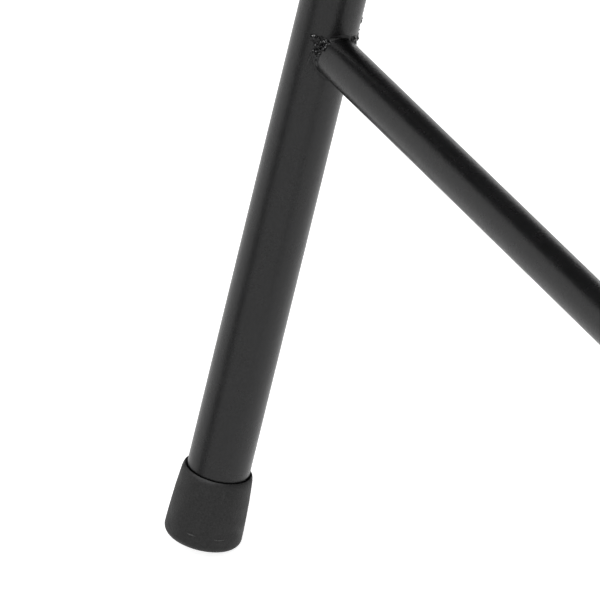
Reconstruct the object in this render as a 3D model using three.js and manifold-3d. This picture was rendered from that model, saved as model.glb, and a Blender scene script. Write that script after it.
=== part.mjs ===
// Tripod hunting stand: a hexagonal slatted platform on a welded ladder and two rear legs, each standing on a
// rubber boot. A padded seat swivels on a centre post, and its backrest folds forward. A padded shooting rail
// runs round the platform on six posts, and its front bar lifts as the entry gate.
// Millimetres, +Z up. The origin is on the ground at the centre of the footprint's box, and the ladder is on
// the -Y side.
import * as THREE from "three";
import { mergeVertices } from "three/addons/utils/BufferGeometryUtils.js";
import Module from "manifold-3d";

const wasm = await Module();
wasm.setup();

// ---- Driving dimensions -------------------------------------------------------------------------
const GAP = 0.3; // between pieces that touch
const LEAN = THREE.MathUtils.degToRad(14.2); // of the ladder and the rear legs, from the vertical

const RAIL_R = 19; // ladder rails and rear legs, 38 mm tube
const RAIL_WALL = 1.5;
const RUNG_R = 13; // 26 mm tube
const RUNG_WALL = 1.5;
const LADDER_HALF_WIDTH = 230; // centre of the ladder to a rail's axis
const RUNG_COUNT = 4;
const FIRST_RUNG = 328.6; // along the rail, from the bottom of the boot
const RUNG_PITCH = 302;

const BOOT_HEIGHT = 46.1;
const BOOT_R = 23.6; // widest, just above the rounded bottom edge
const BOOT_EDGE = 4.4; // radius of the bottom edge
const BOOT_FLOOR = 8;
const BOOT_SHOULDER = [[21.7, 5.5], [21.2, 2.5], [20.3, 0]]; // [radius, distance below the lip]

const DECK_TOP = 1500;
const RIM_APOTHEM = 430; // tripod axis to the centre line of a side of the platform
const RIM_WIDTH = 25;
const RIM_HEIGHT = 35;
const RIM_WALL = 2;
const JOIST_X = 85;
const SLAT_WIDTH = 24;
const SLAT_PITCH = 44;
const SLAT_COUNT = 19;
const SLAT_THICK = 3;

const SOCKET_R = 22.5; // sleeves on the platform that the ladder and the legs plug into
const SOCKET_LENGTH = 145;
const SOCKET_CAP = 3;
const WEB_HALF_THICK = 3; // the web between a sleeve and the platform's rim
const WEB_BELOW_DECK = 8;
const WEB_BELOW_RIM = 55;
const WEB_SHELF = 22; // how far it reaches in under the rim
const WEB_SHELF_DEPTH = 8;
const BOLT_R = 4;
const BOLT_HEAD = { r: 7.5, thick: 5.5 };
const WASHER = { rim: 1.6, thick: 1.5 };
const BOLT_FROM_TOP = 70; // along the sleeve

const BRACE_R = 12.5;
const BRACE_WALL = 1.5;
const BRACE_FLAT = 30; // middle of a bolt to the start of the taper
const BRACE_TAPER = 60;
const TAB_SQUARENESS = 0.45; // exponent of the pressed section: 1 is an ellipse, 0 a rectangle
const TAB_LIFT = 2.9; // clears the leg, which leans behind the tab
const DRAIN_R = 2.5;
const SIDE_BRACE_HEIGHT = 770; // above the ground
const REAR_BRACE_HEIGHT = 830;
const TAB_HALF_THICK = 2.5; // flattened ends of a brace
const TAB_HALF_HEIGHT = 17.5;

const GUARD_R = 12.5; // posts and shooting rail, 25 mm tube
const GUARD_WALL = 1.5;
const GUARD_Z = DECK_TOP + 880; // centre line of the shooting rail
const GUARD_BEND_R = 50;
const GATE_OPENING = 192; // half the distance between the ends of the fixed rail
const GUARD_SPLIT_X = 165; // where the two halves of the fixed rail meet, on the rear side
const PAD_R = 24;
const PAD_LENGTH = 330;

const GATE_PIVOT_X = -170;
const GATE_LEFT = -180.5;
const GATE_RIGHT = 165;
const GATE_PAD_LEFT = -138;
const GATE_PAD_RIGHT = 124;
const PIN_R = 4;
const CHEEK_INSIDE = 13; // half the gap between the cheeks of the hinge fork and of the cradle
const CHEEK_THICK = 3;

const POST_R = 30; // seat post
const POST_WALL = 3;
const POST_HEIGHT = 300;
const SPINDLE_R = 16;
const PAN_UNDERSIDE = DECK_TOP + 390;
const PAN_HALF_WIDTH = 214;
const PAN_FRONT = -200;
const PAN_REAR = 195;
const SHEET = 3; // steel sheet of the pan and the backrest
const SEAT_TOP = PAN_UNDERSIDE + SHEET; // the cushion lies on it
const CUSHION_THICK = 65;
const PIVOT_Y = 160; // backrest hinge, from the tripod axis
const PIVOT_ABOVE_PAN = 75;
const PIVOT_R = 5;
const RECLINE = THREE.MathUtils.degToRad(8);
const BACK_OFFSET = 45; // hinge line to the backrest sheet
const BACK_HEIGHT = 330;
const BACK_BELOW = 60;

// ---- Materials ----------------------------------------------------------------------------------
const finish = (color, roughness, metalness = 0) =>
  new THREE.MeshStandardMaterial({ color, roughness, metalness });
const blackPaint = finish(0x1d1d1f, 0.35, 0.2);
const blackRubber = finish(0x2a2a2b, 0.8);
const blackFoam = finish(0x1b1b1b, 0.95);
const seatCloth = finish(0x2e2f2b, 0.9);
const nylon = finish(0x3a3a3a, 0.5);
const zinc = finish(0x9a9a98, 0.4, 0.9);

// ---- Solids: three.js shapes, with manifold-3d for the cuts and joins ---------------------------
function toSolid(geometry) {
  const plain = geometry.index ? geometry.toNonIndexed() : geometry.clone();
  const points = new THREE.BufferGeometry().setAttribute("position", plain.getAttribute("position"));
  const merged = mergeVertices(points, 1e-3);
  return new wasm.Manifold(
    new wasm.Mesh({
      numProp: 3,
      vertProperties: merged.attributes.position.array,
      triVerts: new Uint32Array(merged.index.array),
    }),
  );
}

function toGeometry(solid) {
  const mesh = solid.getMesh();
  return new THREE.BufferGeometry()
    .setAttribute("position", new THREE.BufferAttribute(new Float32Array(mesh.vertProperties), 3))
    .setIndex(new THREE.BufferAttribute(new Uint32Array(mesh.triVerts), 1));
}

const join = (...pieces) => toGeometry(pieces.map(toSolid).reduce((a, b) => a.add(b)));
const cut = (piece, ...tools) =>
  toGeometry(tools.map(toSolid).reduce((a, b) => a.subtract(b), toSolid(piece)));
const clip = (piece, tool) => toGeometry(toSolid(piece).intersect(toSolid(tool)));

function extrude(shape, depth, curveSegments = 12) {
  return new THREE.ExtrudeGeometry(shape, { depth, bevelEnabled: false, curveSegments });
}

function ring(outer, inner) {
  const shape = new THREE.Shape().absarc(0, 0, outer, 0, 2 * Math.PI);
  if (inner > 0) shape.holes.push(new THREE.Path().absarc(0, 0, inner, 0, 2 * Math.PI));
  return shape;
}

// A round tube, or a solid rod when wall is 0, along +Z from z = from to z = to.
function pipe(outer, wall, from, to, curveSegments = 12) {
  return extrude(ring(outer, wall ? outer - wall : 0), to - from, curveSegments).translate(0, 0, from);
}

const alongX = (geometry) => geometry.rotateY(Math.PI / 2);
const alongY = (geometry) => geometry.rotateX(-Math.PI / 2);

// A box given by its lowest and highest corner.
function block(x0, y0, z0, x1, y1, z1) {
  const box = new THREE.BoxGeometry(x1 - x0, y1 - y0, z1 - z0);
  return box.translate((x0 + x1) / 2, (y0 + y1) / 2, (z0 + z1) / 2);
}

// A solid of revolution about Z, from [radius, z] pairs.
function lathe(profile, segments) {
  const points = profile.map(([r, z]) => new THREE.Vector2(r, z));
  return new THREE.LatheGeometry(points, segments).rotateX(Math.PI / 2);
}

function roundedRect(x0, y0, x1, y1, r) {
  const s = new THREE.Shape();
  s.moveTo(x0 + r, y0).lineTo(x1 - r, y0).absarc(x1 - r, y0 + r, r, -Math.PI / 2, 0);
  s.lineTo(x1, y1 - r).absarc(x1 - r, y1 - r, r, 0, Math.PI / 2);
  s.lineTo(x0 + r, y1).absarc(x0 + r, y1 - r, r, Math.PI / 2, Math.PI);
  s.lineTo(x0, y0 + r).absarc(x0 + r, y0 + r, r, Math.PI, 1.5 * Math.PI);
  return s;
}

// A shape drawn in (y, z) and made into a sheet between x0 and x1.
function sheetYZ(shape, x0, x1, curveSegments = 6) {
  const turn = new THREE.Matrix4().set(0, 0, 1, x0, 1, 0, 0, 0, 0, 1, 0, 0, 0, 0, 0, 1);
  return extrude(shape, x1 - x0, curveSegments).applyMatrix4(turn);
}

function polygon(points) {
  return new THREE.Shape(points.map(([x, y]) => new THREE.Vector2(x, y)));
}

// A bolt along +X: head, shank and nut, with the clamped parts between x = -grip and x = +grip.
function hexBolt(shankR, grip, head = BOLT_HEAD) {
  const shaftProud = 1; // of the head, and twice that of the nut
  const overlap = 0.2;
  const disc = (x0, x1, r, sides) => alongX(
    new THREE.CylinderGeometry(r, r, x1 - x0, sides).rotateX(Math.PI / 2).translate(0, 0, (x0 + x1) / 2),
  );
  const face = grip + WASHER.thick;
  const end = face + head.thick;
  return join(
    disc(-end - shaftProud, end + 2 * shaftProud, shankR, 8),
    disc(-end, overlap - face, head.r, 6),
    disc(-face, -grip, head.r + WASHER.rim, 12),
    disc(grip, face, head.r + WASHER.rim, 12),
    disc(face - overlap, end, head.r, 6),
  );
}

// ---- Assembly -----------------------------------------------------------------------------------
const stand = new THREE.Group();

function add(parent, name, geometry, material) {
  const mesh = new THREE.Mesh(geometry, material);
  mesh.name = name;
  parent.add(mesh);
  return mesh;
}

// A part of the stand that repeats round the tripod axis: the station at 0 faces the ladder side, -Y.
function station(turnDegrees) {
  const group = new THREE.Group();
  group.rotation.z = THREE.MathUtils.degToRad(turnDegrees);
  stand.add(group);
  return group;
}

const RIM_OUTSIDE = RIM_APOTHEM + RIM_WIDTH / 2;
const RIM_BOTTOM = DECK_TOP - RIM_HEIGHT;
const BOOT_FLAT_R = BOOT_R - BOOT_EDGE;
// Height of the boot's bottom centre when its inner edge stands on the ground.
const FOOT_Z = BOOT_FLAT_R * Math.sin(LEAN) + BOOT_EDGE * (1 - Math.cos(LEAN));
// Tripod axis to the boot's bottom centre, so that the sleeve clears the platform's top outer edge.
const FOOT_OUT = RIM_OUTSIDE + GAP + SOCKET_R / Math.cos(LEAN) + (DECK_TOP - FOOT_Z) * Math.tan(LEAN);
// The sleeve's closed end stands level with the deck.
const SOCKET_TOP = (DECK_TOP - FOOT_Z) / Math.cos(LEAN);
const BOLT_AT = SOCKET_TOP - BOLT_FROM_TOP;

// The frame of a leaning leg: +Z runs up its axis, and the origin is the boot's bottom centre.
function leaningFrame(parent) {
  const group = new THREE.Group();
  group.position.set(0, -FOOT_OUT, FOOT_Z);
  group.rotation.x = -LEAN;
  parent.add(group);
  return group;
}

function legTube() {
  const tube = pipe(RAIL_R, RAIL_WALL, BOOT_FLOOR + GAP, SOCKET_TOP - SOCKET_CAP - GAP);
  const hole = alongX(pipe(BOLT_R + GAP, 0, -2 * RAIL_R, 2 * RAIL_R, 6)).translate(0, 0, BOLT_AT);
  return cut(tube, hole);
}

// A tapered rubber cup with a rounded shoulder at its lip and a rounded bottom edge.
function boot() {
  const inside = RAIL_R + GAP;
  const profile = [[0, 0]];
  for (let i = 0; i <= 3; i++) {
    const a = (i / 3) * (Math.PI / 2);
    profile.push([BOOT_FLAT_R + BOOT_EDGE * Math.sin(a), BOOT_EDGE * (1 - Math.cos(a))]);
  }
  profile.push(...BOOT_SHOULDER.map(([r, below]) => [r, BOOT_HEIGHT - below]));
  profile.push([inside, BOOT_HEIGHT], [inside, BOOT_FLOOR], [0, BOOT_FLOOR]);
  return lathe(profile, 20);
}

// A rung with its ends coped to the two rails.
function rung(along) {
  const tube = alongX(pipe(RUNG_R, RUNG_WALL, -LADDER_HALF_WIDTH, LADDER_HALF_WIDTH)).translate(0, 0, along);
  const copes = [-1, 1].map((side) =>
    pipe(RAIL_R + GAP, 0, along - 3 * RUNG_R, along + 3 * RUNG_R).translate(side * LADDER_HALF_WIDTH, 0, 0));
  return cut(tube, ...copes);
}

// The sleeve that a leg plugs into, with its closed top, bolt holes and the web that joins it to the
// platform.
function socket() {
  const lean = new THREE.Matrix4()
    .makeTranslation(0, -FOOT_OUT, FOOT_Z)
    .multiply(new THREE.Matrix4().makeRotationX(-LEAN));
  const inside = RAIL_R + GAP;
  const low = SOCKET_TOP - SOCKET_LENGTH;
  const sleeve = lathe([
    [inside, low], [SOCKET_R, low], [SOCKET_R, SOCKET_TOP], [0, SOCKET_TOP], [0, SOCKET_TOP - SOCKET_CAP],
    [inside, SOCKET_TOP - SOCKET_CAP], [inside, low],
  ], 24).applyMatrix4(lean);
  const bore = pipe(inside, 0, low - SOCKET_R, SOCKET_TOP - SOCKET_CAP).applyMatrix4(lean);
  const bolt = alongX(pipe(BOLT_R + GAP, 0, -2 * SOCKET_R, 2 * SOCKET_R, 6)).translate(0, 0, BOLT_AT)
    .applyMatrix4(lean);
  const axisY = (z) => -FOOT_OUT + (z - FOOT_Z) * Math.tan(LEAN);
  const face = -RIM_OUTSIDE - GAP;
  const webTop = DECK_TOP - WEB_BELOW_DECK;
  const webLow = RIM_BOTTOM - WEB_BELOW_RIM;
  const shelf = RIM_BOTTOM - GAP;
  const web = sheetYZ(polygon([
    [axisY(webTop), webTop], [axisY(webLow), webLow], [face + WEB_SHELF, shelf - WEB_SHELF_DEPTH],
    [face + WEB_SHELF, shelf], [face, shelf], [face, webTop],
  ]), -WEB_HALF_THICK, WEB_HALF_THICK);
  return cut(join(sleeve, web), bore, bolt);
}

// The ladder: two rails on boots, coped rungs, and the sleeves that hold it to the platform's front side.
const front = station(0);
const ladder = leaningFrame(front);
for (const [side, x] of [["left", -LADDER_HALF_WIDTH], ["right", LADDER_HALF_WIDTH]]) {
  add(ladder, `ladder_rail_${side}`, legTube(), blackPaint).position.x = x;
  add(ladder, `ladder_boot_${side}`, boot(), blackRubber).position.x = x;
  add(ladder, `ladder_bolt_${side}`, hexBolt(BOLT_R, SOCKET_R + GAP), zinc).position.set(x, 0, BOLT_AT);
  add(front, `ladder_socket_${side}`, socket(), blackPaint).position.x = x;
}
for (let i = 0; i < RUNG_COUNT; i++) {
  add(ladder, `ladder_rung_${i + 1}`, rung(FIRST_RUNG + i * RUNG_PITCH), blackPaint);
}

// The rear legs, a third of a turn to either side of the ladder.
for (const [side, turn] of [["left", -120], ["right", 120]]) {
  const rear = station(turn);
  const leg = leaningFrame(rear);
  add(leg, `rear_leg_${side}`, legTube(), blackPaint);
  add(leg, `rear_boot_${side}`, boot(), blackRubber);
  add(leg, `rear_bolt_${side}`, hexBolt(BOLT_R, SOCKET_R + GAP), zinc).position.z = BOLT_AT;
  add(rear, `rear_socket_${side}`, socket(), blackPaint);
}

// ---- Braces -------------------------------------------------------------------------------------
// A tube whose ends are pressed flat, along +X from the middle of one tab's bolt to the other's. It is hollow
// between the tabs, with a drain hole at each end of the hollow.
function brace(length) {
  const sides = 12;
  const half = length / 2;
  // the tab's rounded end and its flat: [place, share of its full height]
  const sections = [
    [half + TAB_HALF_HEIGHT, 0.35], [half + 0.75 * TAB_HALF_HEIGHT, 0.7], [half, 1], [half - BRACE_FLAT, 1],
  ].map(([x, share]) => ({ x, y: TAB_HALF_THICK, z: TAB_HALF_HEIGHT * share, square: TAB_SQUARENESS }));
  for (let i = 1; i <= 4; i++) {
    const t = i / 4;
    const ease = t * t * (3 - 2 * t);
    sections.push({
      x: half - BRACE_FLAT - BRACE_TAPER * t,
      y: THREE.MathUtils.lerp(TAB_HALF_THICK, BRACE_R, ease),
      z: THREE.MathUtils.lerp(TAB_HALF_HEIGHT, BRACE_R, ease),
      square: THREE.MathUtils.lerp(TAB_SQUARENESS, 1, ease),
    });
  }
  const all = [...sections.map((s) => ({ ...s, x: -s.x })), ...sections.reverse()];
  const signedPower = (v, p) => Math.sign(v) * Math.abs(v) ** p;
  const positions = [];
  for (const s of all) {
    for (let i = 0; i < sides; i++) {
      const a = ((i + 0.5) / sides) * 2 * Math.PI;
      positions.push(s.x, s.y * signedPower(Math.cos(a), s.square), s.z * signedPower(Math.sin(a), s.square));
    }
  }
  const faces = [];
  for (let k = 0; k + 1 < all.length; k++) {
    for (let i = 0; i < sides; i++) {
      const [a, b] = [k * sides + i, k * sides + ((i + 1) % sides)];
      faces.push(a, b, b + sides, a, b + sides, a + sides);
    }
  }
  const last = (all.length - 1) * sides;
  for (let i = 1; i + 1 < sides; i++) {
    faces.push(0, i + 1, i, last, last + i, last + i + 1);
  }
  const skin = new THREE.BufferGeometry()
    .setAttribute("position", new THREE.BufferAttribute(new Float32Array(positions), 3))
    .setIndex(faces);
  const hollow = half - BRACE_FLAT - BRACE_TAPER - 2 * DRAIN_R;
  const drains = [-1, 1].map((end) =>
    pipe(DRAIN_R, 0, -2 * BRACE_R, 0, 4).translate(end * (hollow - 6 * DRAIN_R), 0, 0));
  return cut(skin, alongX(pipe(BRACE_R - BRACE_WALL, 0, -hollow, hollow, 8)), ...drains);
}

// Where a leg's axis passes a height: the distance out is the same for the ladder's plane and the rear legs.
const outAt = (height) => FOOT_OUT - (height - FOOT_Z) * Math.tan(LEAN);
function rearPoint(side, height) {
  const out = outAt(height);
  return new THREE.Vector3(side * out * Math.sin(Math.PI / 3), out / 2, height);
}
const ladderPoint = (side) =>
  new THREE.Vector3(side * LADDER_HALF_WIDTH, -outAt(SIDE_BRACE_HEIGHT), SIDE_BRACE_HEIGHT);

const TAB_OFFSET = RAIL_R + TAB_HALF_THICK + TAB_LIFT;
const BOLT_NEAR = TAB_OFFSET + TAB_HALF_THICK + GAP;
const BOLT_FAR = RAIL_R + 2.2; // clears the leg behind the bolt's head

function drill(name, at, direction) {
  const mesh = stand.getObjectByName(name);
  mesh.updateWorldMatrix(true, false);
  const turn = new THREE.Quaternion().setFromUnitVectors(new THREE.Vector3(0, 0, 1), direction);
  const tool = pipe(BOLT_R + GAP, 0, -2 * RAIL_R, 2 * RAIL_R, 6)
    .applyQuaternion(turn)
    .translate(at.x, at.y, at.z)
    .applyMatrix4(mesh.matrixWorld.clone().invert());
  mesh.geometry = cut(mesh.geometry, tool);
}

// A brace bolted between two legs, each given as [name, point on its axis].
function addBrace(name, ends) {
  const [from, to] = ends.map((end) => end[1]);
  const along = to.clone().sub(from).normalize();
  const up = new THREE.Vector3(0, 0, 1);
  const across = up.clone().cross(along);
  const middle = from.clone().add(to).multiplyScalar(0.5);
  if (across.dot(middle) > 0) across.negate(); // towards the tripod axis
  const basis = new THREE.Matrix4().makeBasis(across.clone().cross(up), across, up);
  const mesh = add(stand, name, brace(from.distanceTo(to)), blackPaint);
  mesh.quaternion.setFromRotationMatrix(basis);
  mesh.position.copy(middle).addScaledVector(across, TAB_OFFSET);
  ends.forEach(([leg, at], i) => {
    drill(leg, at, across);
    drill(name, at, across);
    const bolt = hexBolt(BOLT_R, (BOLT_NEAR + BOLT_FAR) / 2);
    const fastener = add(stand, `${name}_bolt_${i + 1}`, bolt.rotateZ(Math.PI / 2), zinc);
    fastener.quaternion.copy(mesh.quaternion);
    fastener.position.copy(at).addScaledVector(across, (BOLT_NEAR - BOLT_FAR) / 2);
  });
}
for (const [side, sign] of [["left", -1], ["right", 1]]) {
  addBrace(`brace_${side}`, [
    [`ladder_rail_${side}`, ladderPoint(sign)],
    [`rear_leg_${side}`, rearPoint(sign, SIDE_BRACE_HEIGHT)],
  ]);
}
addBrace("brace_rear", [
  ["rear_leg_left", rearPoint(-1, REAR_BRACE_HEIGHT)],
  ["rear_leg_right", rearPoint(1, REAR_BRACE_HEIGHT)],
]);

// ---- Platform -----------------------------------------------------------------------------------
const TAN_30 = Math.tan(Math.PI / 6);

function hexagon(apothem, Kind = THREE.Shape) {
  const corner = apothem / Math.cos(Math.PI / 6);
  return new Kind([0, 1, 2, 3, 4, 5].map((i) =>
    new THREE.Vector2(corner * Math.cos((i * Math.PI) / 3), corner * Math.sin((i * Math.PI) / 3))));
}

function hexRing(outer, inner) {
  const shape = hexagon(outer);
  shape.holes.push(hexagon(inner, THREE.Path));
  return shape;
}

// The welded frame: a hexagonal rim and two joists, all of channel that is open underneath.
const RIM_INSIDE = RIM_OUTSIDE - RIM_WIDTH;
const JOIST_TOP = DECK_TOP - 2 * SLAT_THICK - GAP;
function platformFrame() {
  const low = RIM_BOTTOM;
  const half = RIM_WIDTH / 2;
  const rim = extrude(hexRing(RIM_OUTSIDE, RIM_INSIDE), RIM_HEIGHT).translate(0, 0, low);
  const rimHollow = extrude(hexRing(RIM_OUTSIDE - RIM_WALL, RIM_INSIDE + RIM_WALL), RIM_HEIGHT)
    .translate(0, 0, low - RIM_WALL);
  const reach = RIM_INSIDE + RIM_WALL / 2;
  const hollow = RIM_INSIDE - RIM_WALL;
  const joists = [];
  const hollows = [];
  for (const x of [-JOIST_X, JOIST_X]) {
    joists.push(block(x - half, -reach, low, x + half, reach, JOIST_TOP));
    hollows.push(block(
      x - half + RIM_WALL, -hollow, low - RIM_WALL, x + half - RIM_WALL, hollow, JOIST_TOP - RIM_WALL,
    ));
  }
  return cut(join(cut(rim, rimHollow), ...joists), ...hollows);
}
add(stand, "platform_frame", platformFrame(), blackPaint);

// The deck: slats across the platform, welded to two straps that lie on the joists.
function deck() {
  const edge = RIM_INSIDE - GAP;
  const strapEnd = edge - 1;
  const sunk = 0.5; // of each strap, in the slats
  const pieces = [-JOIST_X, JOIST_X].map((x) => block(
    x - RIM_WIDTH / 2, -strapEnd, DECK_TOP - 2 * SLAT_THICK,
    x + RIM_WIDTH / 2, strapEnd, DECK_TOP - SLAT_THICK + sunk,
  ));
  for (let i = 0; i < SLAT_COUNT; i++) {
    const y = (i - (SLAT_COUNT - 1) / 2) * SLAT_PITCH;
    pieces.push(block(
      -2 * RIM_OUTSIDE, y - SLAT_WIDTH / 2, DECK_TOP - SLAT_THICK,
      2 * RIM_OUTSIDE, y + SLAT_WIDTH / 2, DECK_TOP,
    ));
  }
  return clip(join(...pieces), extrude(hexagon(edge), RIM_HEIGHT).translate(0, 0, DECK_TOP - RIM_HEIGHT / 2));
}
add(stand, "deck_grate", deck(), blackPaint);

// ---- Shooting rail ------------------------------------------------------------------------------
// A path of straight runs joined by bends, sampled at the ends of the runs and round each bend.
class BentPath extends THREE.Curve {
  constructor(corners, bendR, bendSteps = 3) {
    super();
    this.stations = [corners[0]];
    for (let i = 1; i + 1 < corners.length; i++) {
      const inward = corners[i].clone().sub(corners[i - 1]).normalize();
      const outward = corners[i + 1].clone().sub(corners[i]).normalize();
      const turn = inward.angleTo(outward);
      const reach = bendR * Math.tan(turn / 2);
      const centreway = outward.clone().sub(inward).normalize();
      const centre = corners[i].clone().addScaledVector(centreway, bendR / Math.cos(turn / 2));
      const arm = corners[i].clone().addScaledVector(inward, -reach).sub(centre);
      const axis = inward.clone().cross(outward).normalize();
      for (let k = 0; k <= bendSteps; k++) {
        this.stations.push(arm.clone().applyAxisAngle(axis, (turn * k) / bendSteps).add(centre));
      }
    }
    this.stations.push(corners[corners.length - 1]);
  }
  get steps() {
    return this.stations.length - 1;
  }
  getPoint(t, target = new THREE.Vector3()) {
    const along = Math.min(Math.max(t, 0), 1) * this.steps;
    const i = Math.min(Math.floor(along + 1e-9), this.steps - 1);
    return target.lerpVectors(this.stations[i], this.stations[i + 1], along - i);
  }
  getPointAt(u, target) {
    return this.getPoint(u, target);
  }
  getTangentAt(u, target = new THREE.Vector3()) {
    const i = Math.round(u * this.steps);
    const before = this.stations[Math.max(i - 1, 0)];
    const here = this.stations[i];
    const after = this.stations[Math.min(i + 1, this.steps)];
    const back = here.clone().sub(before).normalize();
    const ahead = after.clone().sub(here).normalize();
    return target.copy(back).add(ahead).normalize();
  }
}

function bentPipe(corners, outer, wall, bendR) {
  const path = new BentPath(corners, bendR);
  return new THREE.ExtrudeGeometry(ring(outer, outer - wall), {
    steps: path.steps, extrudePath: path, curveSegments: 6, bevelEnabled: false,
  });
}

const HALF_SIDE = RIM_APOTHEM * TAN_30;
function guardHalf(side, rearEnd) {
  return bentPipe([
    new THREE.Vector3(side * GATE_OPENING, -RIM_APOTHEM, GUARD_Z),
    new THREE.Vector3(side * HALF_SIDE, -RIM_APOTHEM, GUARD_Z),
    new THREE.Vector3(side * 2 * HALF_SIDE, 0, GUARD_Z),
    new THREE.Vector3(side * HALF_SIDE, RIM_APOTHEM, GUARD_Z),
    new THREE.Vector3(rearEnd, RIM_APOTHEM, GUARD_Z),
  ], GUARD_R, GUARD_WALL, GUARD_BEND_R);
}
add(stand, "guard_rail_left", guardHalf(-1, GUARD_SPLIT_X), blackPaint);
add(stand, "guard_rail_right", guardHalf(1, GUARD_SPLIT_X + GAP), blackPaint);
const COUPLER_WALL = 2;
const COUPLER_HALF = 32;
const coupler = pipe(GUARD_R + GAP + COUPLER_WALL, COUPLER_WALL, -COUPLER_HALF, COUPLER_HALF);
add(stand, "guard_coupler", alongX(coupler), blackPaint)
  .position.set(GUARD_SPLIT_X, RIM_APOTHEM, GUARD_Z);

// The posts stand on the rim's corners, under the bends of the rail.
const POST_OUT = 2 * HALF_SIDE - GUARD_BEND_R * (1 / Math.cos(Math.PI / 6) - 1);
const guardPost = () => pipe(GUARD_R, GUARD_WALL, DECK_TOP + GAP, GUARD_Z - GUARD_R - GAP, 8);
["front_left", "front_right", "right", "rear_right", "rear_left", "left"].forEach((corner, i) => {
  const turn = THREE.MathUtils.degToRad(-120 + 60 * i);
  add(stand, `post_${corner}`, guardPost(), blackPaint)
    .position.set(POST_OUT * Math.cos(turn), POST_OUT * Math.sin(turn), 0);
});

// Foam sleeves on the four slanting sides and the rear side.
const pad = (length) => alongX(pipe(PAD_R, PAD_R - GUARD_R - GAP, -length / 2, length / 2, 8));
const REAR_PAD_SHIFT = 40; // clears the coupler
for (const [side, turn, shift] of [
  ["right_front", 60, 0], ["right_rear", 120, 0], ["rear", 180, REAR_PAD_SHIFT], ["left_rear", 240, 0],
  ["left_front", 300, 0],
]) {
  add(station(turn), `rail_pad_${side}`, pad(PAD_LENGTH), blackFoam)
    .position.set(shift, -RIM_APOTHEM, GUARD_Z);
}

// ---- Gate ------------------------------------------------------------------------------------------
// The rail's front bar, on a pin in a fork at its left end, resting in a cradle at its right end.
const gate = new THREE.Group();
gate.position.set(0, -RIM_APOTHEM, GUARD_Z);
stand.add(gate);

const END_PLATE = 3;
const CHEEK_HALF_HEIGHT = 12;
const CHEEK_PAST_PIN = 11;
const CRADLE_LENGTH = 25; // under the end of the bar
const CRADLE_TOP = 4;
const CRADLE_CLEARANCE = 0.5;
const CHEEK_OUTSIDE = CHEEK_INSIDE + CHEEK_THICK;
const pinHole = () => alongY(pipe(PIN_R + GAP, 0, -2 * CHEEK_OUTSIDE, 2 * CHEEK_OUTSIDE, 6))
  .translate(GATE_PIVOT_X, 0, 0);

function endPlate(side) {
  const [a, b] = [side * (GATE_OPENING - GAP), side * (GATE_OPENING - END_PLATE)];
  return alongX(pipe(CHEEK_OUTSIDE, 0, Math.min(a, b), Math.max(a, b)));
}

function fork() {
  const cheeks = [-1, 1].map((side) => block(
    -GATE_OPENING + 1, side > 0 ? CHEEK_INSIDE : -CHEEK_OUTSIDE, -CHEEK_HALF_HEIGHT,
    GATE_PIVOT_X + CHEEK_PAST_PIN, side > 0 ? CHEEK_OUTSIDE : -CHEEK_INSIDE, CHEEK_HALF_HEIGHT,
  ));
  return cut(join(endPlate(-1), ...cheeks), pinHole());
}

function cradle() {
  const low = -GUARD_R - CRADLE_CLEARANCE;
  const start = GATE_RIGHT - CRADLE_LENGTH;
  const end = GATE_OPENING - 1;
  const channel = cut(
    block(start, -CHEEK_OUTSIDE, low - CHEEK_THICK, end, CHEEK_OUTSIDE, CRADLE_TOP),
    block(start - 5, -CHEEK_INSIDE, low, end + 5, CHEEK_INSIDE, 2 * CRADLE_TOP),
  );
  return join(endPlate(1), channel);
}

add(gate, "gate_fork", fork(), blackPaint);
add(gate, "gate_cradle", cradle(), blackPaint);
add(gate, "gate_pin", hexBolt(PIN_R, CHEEK_OUTSIDE + GAP, { r: 6.5, thick: 4 }).rotateZ(Math.PI / 2), zinc)
  .position.x = GATE_PIVOT_X;
add(gate, "gate_bar", cut(alongX(pipe(GUARD_R, GUARD_WALL, GATE_LEFT, GATE_RIGHT)), pinHole()), blackPaint);
add(gate, "gate_pad", pad(GATE_PAD_RIGHT - GATE_PAD_LEFT), blackFoam)
  .position.x = (GATE_PAD_LEFT + GATE_PAD_RIGHT) / 2;

// ---- Seat ---------------------------------------------------------------------------------------
const POST_TOP = DECK_TOP + POST_HEIGHT;
const FLANGE = 6;
const postBase = extrude(roundedRect(-110, -80, 110, 80, 12), FLANGE, 4).translate(0, 0, DECK_TOP + GAP);
const postBore = pipe(POST_R - POST_WALL, 0, DECK_TOP - FLANGE, POST_TOP + FLANGE);
add(stand, "seat_post", cut(join(postBase, pipe(POST_R, 0, DECK_TOP + GAP, POST_TOP)), postBore), blackPaint);

// A flanged nylon bush in the top of the post, and the spindle that turns in it.
const BUSH_LENGTH = 80;
const BUSH_FLANGE = 4; // thick, and past the post's outside
const BUSH_R = POST_R - POST_WALL - GAP;
const bushTop = POST_TOP + GAP + BUSH_FLANGE;
add(stand, "swivel_bush", lathe([
  [SPINDLE_R + GAP, POST_TOP - BUSH_LENGTH], [BUSH_R, POST_TOP - BUSH_LENGTH], [BUSH_R, POST_TOP + GAP],
  [POST_R + BUSH_FLANGE, POST_TOP + GAP], [POST_R + BUSH_FLANGE, bushTop], [SPINDLE_R + GAP, bushTop],
  [SPINDLE_R + GAP, POST_TOP - BUSH_LENGTH],
], 24), nylon);

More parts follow.
